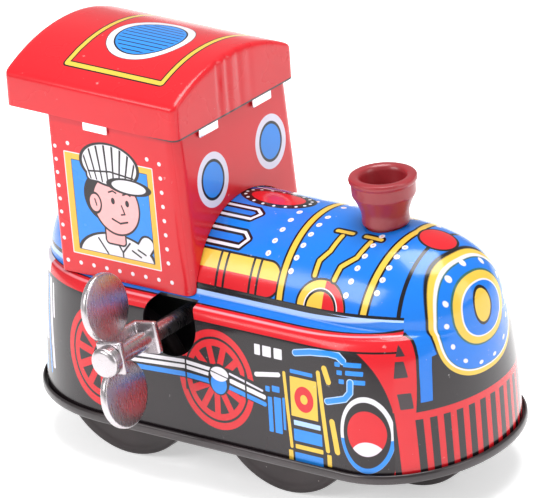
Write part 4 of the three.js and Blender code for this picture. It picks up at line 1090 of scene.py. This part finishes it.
# %% The chimney
CROWN = BOILER_TOP
CHIMNEY_TOP = chimney_box[1].z / MM
chimney_profile = [(0, CROWN - 3.4), (3.4, CROWN - 3.4), (3.4, CROWN + 0.1), (4.05, CROWN + 0.25),
                   (4.1, CROWN + 0.7), (4.05, CROWN + 1.6), (4.15, CROWN + 2.5), (4.5, CROWN + 3.5),
                   (5.0, CROWN + 4.6), (5.3, CROWN + 5.1), (5.45, CROWN + 5.4), (5.5, CROWN + 5.6),
                   (5.55, CHIMNEY_TOP - 1.3), (5.85, CHIMNEY_TOP - 0.9), (5.9, CHIMNEY_TOP - 0.5),
                   (5.75, CHIMNEY_TOP - 0.18), (5.4, CHIMNEY_TOP - 0.02), (4.9, CHIMNEY_TOP),
                   (4.4, CHIMNEY_TOP - 0.08), (4.05, CHIMNEY_TOP - 0.4), (3.9, CHIMNEY_TOP - 1.0),
                   (3.5, CROWN + 3.4), (3.2, CROWN + 2.8), (0, CROWN + 2.6)]
piece(turned(chimney_profile, at(CHIMNEY_X, 0, 0), (0, 0, 1), closed=False), "chimney_moulding",
      [FINISH["chimney_plastic"]], replaces=("chimney",))

# %% [markdown]
# The cab is a folded box without a top or bottom. Its four walls are lofted from the foot to the eave
# with rounded corners, given a wall thickness, and fitted over the boiler by subtracting a slightly
# grown boiler. Each wall then takes the print that faces its way.

# %% The cab
CAB_REAR_X, CAB_LENGTH, CAB_WIDTH, CAB_LEAN = -32.6, 29.4, 32.6, 1.5
EAVE_Z, FASCIA = 62.2, 6.0
CAB_FOOT_Z = SHOULDER_Z + 0.3
CAB_TOP_Z = EAVE_Z + FASCIA - 1.8


def cab_ring(z, front_corner=2.4, rear_corner=0.9, steps=10):
    lean = CAB_LEAN * (z - CAB_FOOT_Z) / (EAVE_Z - CAB_FOOT_Z)
    front, rear, half = CAB_REAR_X + CAB_LENGTH - lean, CAB_REAR_X, CAB_WIDTH / 2
    ring = []
    for x, y, radius, start in ((front, half, front_corner, 0), (rear, half, rear_corner, 90),
                                (rear, -half, rear_corner, 180), (front, -half, front_corner, 270)):
        middle_x = x - math.copysign(radius, x - (front + rear) / 2)
        middle_y = y - math.copysign(radius, y)
        for step in range(steps + 1):
            t = math.radians(start + 90 * step / steps)
            ring.append((middle_x + radius * math.cos(t), middle_y + radius * math.sin(t), z))
    return ring


cab_heights = [CAB_FOOT_Z + (CAB_TOP_Z - CAB_FOOT_Z) * i / 12 for i in range(13)]
cab = loft([cab_ring(z) for z in cab_heights], low_cap=False, high_cap=False)
for face in cab.faces:
    if face.normal.x > 0.62:
        face.material_index = 1
    elif face.normal.x < -0.62:
        face.material_index = 2
cab_data = bpy.data.meshes.new("cab_tin")
cab.to_mesh(cab_data)
cab.free()
cab_tin = bpy.data.objects.new("cab_tin", cab_data)
bpy.context.scene.collection.objects.link(cab_tin)
for panel in ("cab_side", "cab_front", "cab_rear"):
    cab_data.materials.append(PRINTS[panel])
wall = cab_tin.modifiers.new("wall", "SOLIDIFY")
wall.thickness = TIN * MM
wall.offset = -1
settle(cab_tin, 40)
grown = [dict(level, z=level["z"] + 0.12) for level in body_levels]
cut(cab_tin, loft([[(x, y, level["z"]) for x, y in outline(level, 0.12)] for level in grown]))
settle(cab_tin, 40)
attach(cab_tin, "frame")
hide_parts("cab_shell")
print("cab_tin", len(cab_tin.data.polygons), "faces")

# %% [markdown]
# The roof is a shallow pressed tray: an arched top with its edges turned down all round and small
# rounded corners. Tabs at its edge are bent in to hold it on the cab. It climbs a little to the rear.

# %% The roof
ROOF_PITCH, ROOF_RISE, ROOF_OVERHANG = 1.3, 4.7, 8.4
ROOF_HALF = CAB_WIDTH / 2 + 0.15 + TIN
ROOF_FRONT = CAB_REAR_X + CAB_LENGTH - CAB_LEAN + 0.35 + TIN
ROOF_REAR = CAB_REAR_X - ROOF_OVERHANG
FASCIA_TOP = EAVE_Z + FASCIA


def roof_height(y, half):
    return FASCIA_TOP + ROOF_RISE * (1 - min(1.0, abs(y) / half) ** 2.1)


def roof_ring(inset, share, corner=1.3, steps=6, sides=72):
    """One ring of the tray: share 0 is its lower edge, 1 is where the turned edge meets the arch."""
    half, front, rear = ROOF_HALF - inset, ROOF_FRONT - inset, ROOF_REAR + inset
    corner = max(0.25, corner - inset)
    flat = []
    for x, y, start in ((front, half, 0), (rear, half, 90), (rear, -half, 180), (front, -half, 270)):
        middle_x = x - math.copysign(corner, x - (front + rear) / 2)
        middle_y = y - math.copysign(corner, y)
        for step in range(steps + 1):
            t = math.radians(start + 90 * step / steps)
            flat.append((middle_x + corner * math.cos(t), middle_y + corner * math.sin(t)))
        if start in (90, 270):
            way = -1 if start == 90 else 1
            flat.extend((middle_x + way * corner, middle_y + way * 2 * (half - corner) * i / sides)
                        for i in range(1, sides))
    return [(x, y, EAVE_Z + share * (roof_height(y, ROOF_HALF) - EAVE_Z)) for x, y in flat]


roof_rings = [roof_ring(0.0, 0.0), roof_ring(0.0, 0.3), roof_ring(0.0, 0.6), roof_ring(0.0, 0.86),
              roof_ring(0.06, 0.93), roof_ring(0.25, 0.97), roof_ring(0.6, 0.993)]
roof_rings += [roof_ring(inset, 1.0) for inset in (1.1, 2.5, 5.0, 8.0, 11.0, 14.0, 16.0)]
print("roof", round(ROOF_FRONT - ROOF_REAR, 1), "mm long")


# %% Raising the roof
# puckers where the tin was gathered over the gable: place across, width, depth
GATHERS = ((-4.2, 0.5, -0.28), (-2.9, 0.45, 0.14), (-1.6, 0.4, -0.25), (-0.4, 0.5, 0.12), (1.6, 0.6, -0.22),
           (4.6, 0.8, -0.1))
pitch = (Matrix.Translation(at(ROOF_FRONT, 0, EAVE_Z)) @ Matrix.Rotation(math.radians(ROOF_PITCH), 4, "Y")
         @ Matrix.Translation(-at(ROOF_FRONT, 0, EAVE_Z)))
roof = loft(roof_rings, low_cap=False)
for vertex in roof.verts:
    x, y, z = vertex.co / MM - Vector((0, CENTRE_Y, 0))
    if x > ROOF_FRONT - 0.3 and z > EAVE_Z + 1.2:
        folds = sum(depth * math.exp(-((y - middle) / width) ** 2) for middle, width, depth in GATHERS)
        vertex.co.x += folds * MM
bmesh.ops.transform(roof, verts=roof.verts, matrix=pitch)
roof_data = bpy.data.meshes.new("roof_tin")
roof.to_mesh(roof_data)
roof.free()
roof_tin = bpy.data.objects.new("roof_tin", roof_data)
bpy.context.scene.collection.objects.link(roof_tin)
roof_data.materials.append(PRINTS["roof"])
wall = roof_tin.modifiers.new("wall", "SOLIDIFY")
wall.thickness = TIN * MM
wall.offset = -1
settle(roof_tin, 50)
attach(roof_tin, "frame")
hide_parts("cab_roof")
print("roof_tin", len(roof_tin.data.polygons), "faces")


# %% The roof's bent tabs
def tab(name, x0, x1, y0, y1):
    mesh = block(x0, x1, y0, y1, EAVE_Z - 1.55, EAVE_Z + 0.35)
    bmesh.ops.bevel(mesh, geom=mesh.edges[:], offset=0.17 * MM, segments=3, profile=0.5, affect="EDGES",
                    material=-1)
    bmesh.ops.transform(mesh, verts=mesh.verts, matrix=pitch)
    piece(mesh, name, [FINISH["bare_tin"]])


TAB_LENGTH = 5.2
for side in (-1, 1):
    edge = side * (ROOF_HALF - 0.55)
    tab("side_tab_right" if side < 0 else "side_tab_left", CAB_REAR_X + 8.4, CAB_REAR_X + 8.4 + TAB_LENGTH,
        min(edge, edge + side * 0.5), max(edge, edge + side * 0.5))
    tab("front_tab_right" if side < 0 else "front_tab_left", ROOF_FRONT - 0.55, ROOF_FRONT - 0.05,
        side * 7.6 - TAB_LENGTH / 2, side * 7.6 + TAB_LENGTH / 2)

# %% [markdown]
# The key is one strip of steel folded into a bridge with an oval wing at each end. The arbor passes
# through the bridge and is headed over on the outside, so its end shows as a round bar.

# %% The key's wings and bridge
KEY_REACH, WING_LENGTH, WING_HEIGHT, WING_OFFSET, KEY_SHEET, KEY_LEAN = 15.4, 11.4, 12.0, 7.9, 1.3, 8.7
WING_Y = -WIDTH / 2 - KEY_REACH + WING_LENGTH / 2
BRIDGE_HALF, BRIDGE_DEPTH, BRIDGE_REACH = 2.9, 4.6, 2.3
BRIDGE_Y0, BRIDGE_Y1 = WING_Y - 3.0, WING_Y + 6.6
lean = Matrix.Translation(at(ARBOR_X, 0, ARBOR_Z)) @ Matrix.Rotation(math.radians(-KEY_LEAN), 4, "Y")
key = bmesh.new()
for way in (1, -1):
    made = bmesh.ops.create_circle(key, cap_ends=True, segments=64, radius=1.0)["verts"]
    shape = (Matrix.Translation(Vector((-BRIDGE_DEPTH / 2 - KEY_SHEET / 2, WING_Y, way * WING_OFFSET)) * MM)
             @ Matrix.Rotation(math.radians(90), 4, "Y")
             @ Matrix.Diagonal((WING_HEIGHT / 2 * MM, WING_LENGTH / 2 * MM, 1, 1)))
    bmesh.ops.transform(key, verts=made, matrix=shape)
    disc = {face for vertex in made for face in vertex.link_faces}
    raised = bmesh.ops.extrude_face_region(key, geom=list(disc))["geom"]
    bmesh.ops.translate(key, verts=[item for item in raised if isinstance(item, bmesh.types.BMVert)],
                        vec=Vector((KEY_SHEET, 0, 0)) * MM)
half_sheet = KEY_SHEET / 2
strap_back, strap_front = -BRIDGE_DEPTH / 2 - half_sheet, -BRIDGE_DEPTH / 2 + half_sheet
corners = [(strap_back, BRIDGE_Y0 - half_sheet), (BRIDGE_REACH, BRIDGE_Y0 - half_sheet),
           (BRIDGE_REACH, BRIDGE_Y0 + half_sheet), (strap_front, BRIDGE_Y0 + half_sheet),
           (strap_front, BRIDGE_Y1 - half_sheet), (BRIDGE_REACH, BRIDGE_Y1 - half_sheet),
           (BRIDGE_REACH, BRIDGE_Y1 + half_sheet), (strap_back, BRIDGE_Y1 + half_sheet)]
strip = key.faces.new([key.verts.new(Vector((x, y, -BRIDGE_HALF)) * MM) for x, y in corners])
raised = bmesh.ops.extrude_face_region(key, geom=[strip])["geom"]
bmesh.ops.translate(key, verts=[item for item in raised if isinstance(item, bmesh.types.BMVert)],
                    vec=Vector((0, 0, 2 * BRIDGE_HALF)) * MM)
bmesh.ops.recalc_face_normals(key, faces=key.faces)
sharp = [edge for edge in key.edges if edge.is_manifold and edge.calc_face_angle() > 0.8]
bmesh.ops.bevel(key, geom=sharp, offset=0.42 * MM, segments=4, profile=0.5, affect="EDGES", material=-1)
bmesh.ops.transform(key, verts=key.verts, matrix=Matrix.Translation(Vector((0, CENTRE_Y, 0)) * MM))
bmesh.ops.transform(key, verts=key.verts, matrix=lean @ Matrix.Translation(-Vector((0, CENTRE_Y, 0)) * MM))
piece(key, "folded_key", [FINISH["nickel"]], "winding_shaft", replaces=("key",))

# %% The headed arbor
arbor_start = arbor_box[0].y / MM - CENTRE_Y
arbor_end = arbor_box[1].y / MM - CENTRE_Y
head = BRIDGE_Y0 - KEY_SHEET / 2 - 0.15 - arbor_start
arbor_length = arbor_end - arbor_start
arbor_profile = [(0, 0), (1.9, 0.0), (2.3, 0.12), (2.58, 0.38), (2.68, 0.75), (2.68, head - 0.2), (2.5, head),
                 (1.6, head), (1.6, arbor_length - 0.2), (1.4, arbor_length), (0, arbor_length)]
piece(turned(arbor_profile, at(ARBOR_X, arbor_start, ARBOR_Z), (0, 1, 0), steps=64, closed=False),
      "headed_arbor", [FINISH["nickel"]], "winding_shaft", replaces=("winding_arbor",))

# %% [markdown]
# The engine stands on a pale sheet under soft studio light: a large panel overhead, one from the
# front left for the key's side, and one behind to the right that pales the nose.

# %% The stage
floor_mesh = bmesh.new()
bmesh.ops.create_grid(floor_mesh, x_segments=1, y_segments=1, size=3.0)
floor_data = bpy.data.meshes.new("floor")
floor_mesh.to_mesh(floor_data)
floor_mesh.free()
floor = bpy.data.objects.new("floor", floor_data)
bpy.context.scene.collection.objects.link(floor)
floor.location.z = -0.0001
paper = bpy.data.materials.new("paper")
paper.use_nodes = True
paper_shader = paper.node_tree.nodes["Principled BSDF"]
for socket, value in (("Base Color", (0.92, 0.92, 0.92, 1)), ("Roughness", 0.7),
                      ("Emission Color", (1, 1, 1, 1)), ("Emission Strength", 0.5)):
    paper_shader.inputs[socket].default_value = value
floor_data.materials.append(paper)

bpy.context.scene.view_settings.view_transform = "Standard"
world = bpy.data.worlds.new("studio")
bpy.context.scene.world = world
world.use_nodes = True
world.node_tree.nodes["Background"].inputs["Color"].default_value = (1, 1, 1, 1)
world.node_tree.nodes["Background"].inputs["Strength"].default_value = 0.42


def panel(name, place, target, width, height, power):
    data = bpy.data.lights.new(name, "AREA")
    data.shape = "RECTANGLE"
    data.size, data.size_y, data.energy = width, height, power
    light = bpy.data.objects.new(name, data)
    bpy.context.scene.collection.objects.link(light)
    light.location = place
    light.rotation_euler = (Vector(target) - Vector(place)).to_track_quat("-Z", "Y").to_euler()


panel("overhead", (0.05, 0.05, 0.9), (0, 0, 0.03), 0.6, 0.5, 8.5)
panel("front_left", (-0.35, -0.75, 0.55), (0, 0, 0.03), 0.5, 0.4, 4)
panel("nose_side", (0.8, 0.15, 0.35), (0.03, 0, 0.03), 0.4, 0.5, 1.6)

# %% [markdown]
# The camera looks down on the key's side from ahead, with a long lens, a little rolled.

# %% The camera
AZIMUTH, ELEVATION, ROLL = math.radians(38.6), math.radians(22.75), math.radians(-5.01)
DISTANCE, FOCAL, TARGET = 948.3, 371.5, (0.15, 0, 37.02)
back = Vector((math.sin(AZIMUTH) * math.cos(ELEVATION), -math.cos(AZIMUTH) * math.cos(ELEVATION),
               math.sin(ELEVATION)))
right = Vector((math.cos(AZIMUTH), math.sin(AZIMUTH), 0))
up = back.cross(right)
across = right * math.cos(ROLL) + up * math.sin(ROLL)
upward = up * math.cos(ROLL) - right * math.sin(ROLL)
camera_data = bpy.data.cameras.new("camera")
camera_data.lens = FOCAL
camera_data.sensor_width = 36.0
camera = bpy.data.objects.new("camera", camera_data)
bpy.context.scene.collection.objects.link(camera)
turn = Matrix((across, upward, back)).transposed().to_4x4()
camera.matrix_world = Matrix.Translation(at(*TARGET) + back * DISTANCE * MM) @ turn
bpy.context.scene.camera = camera
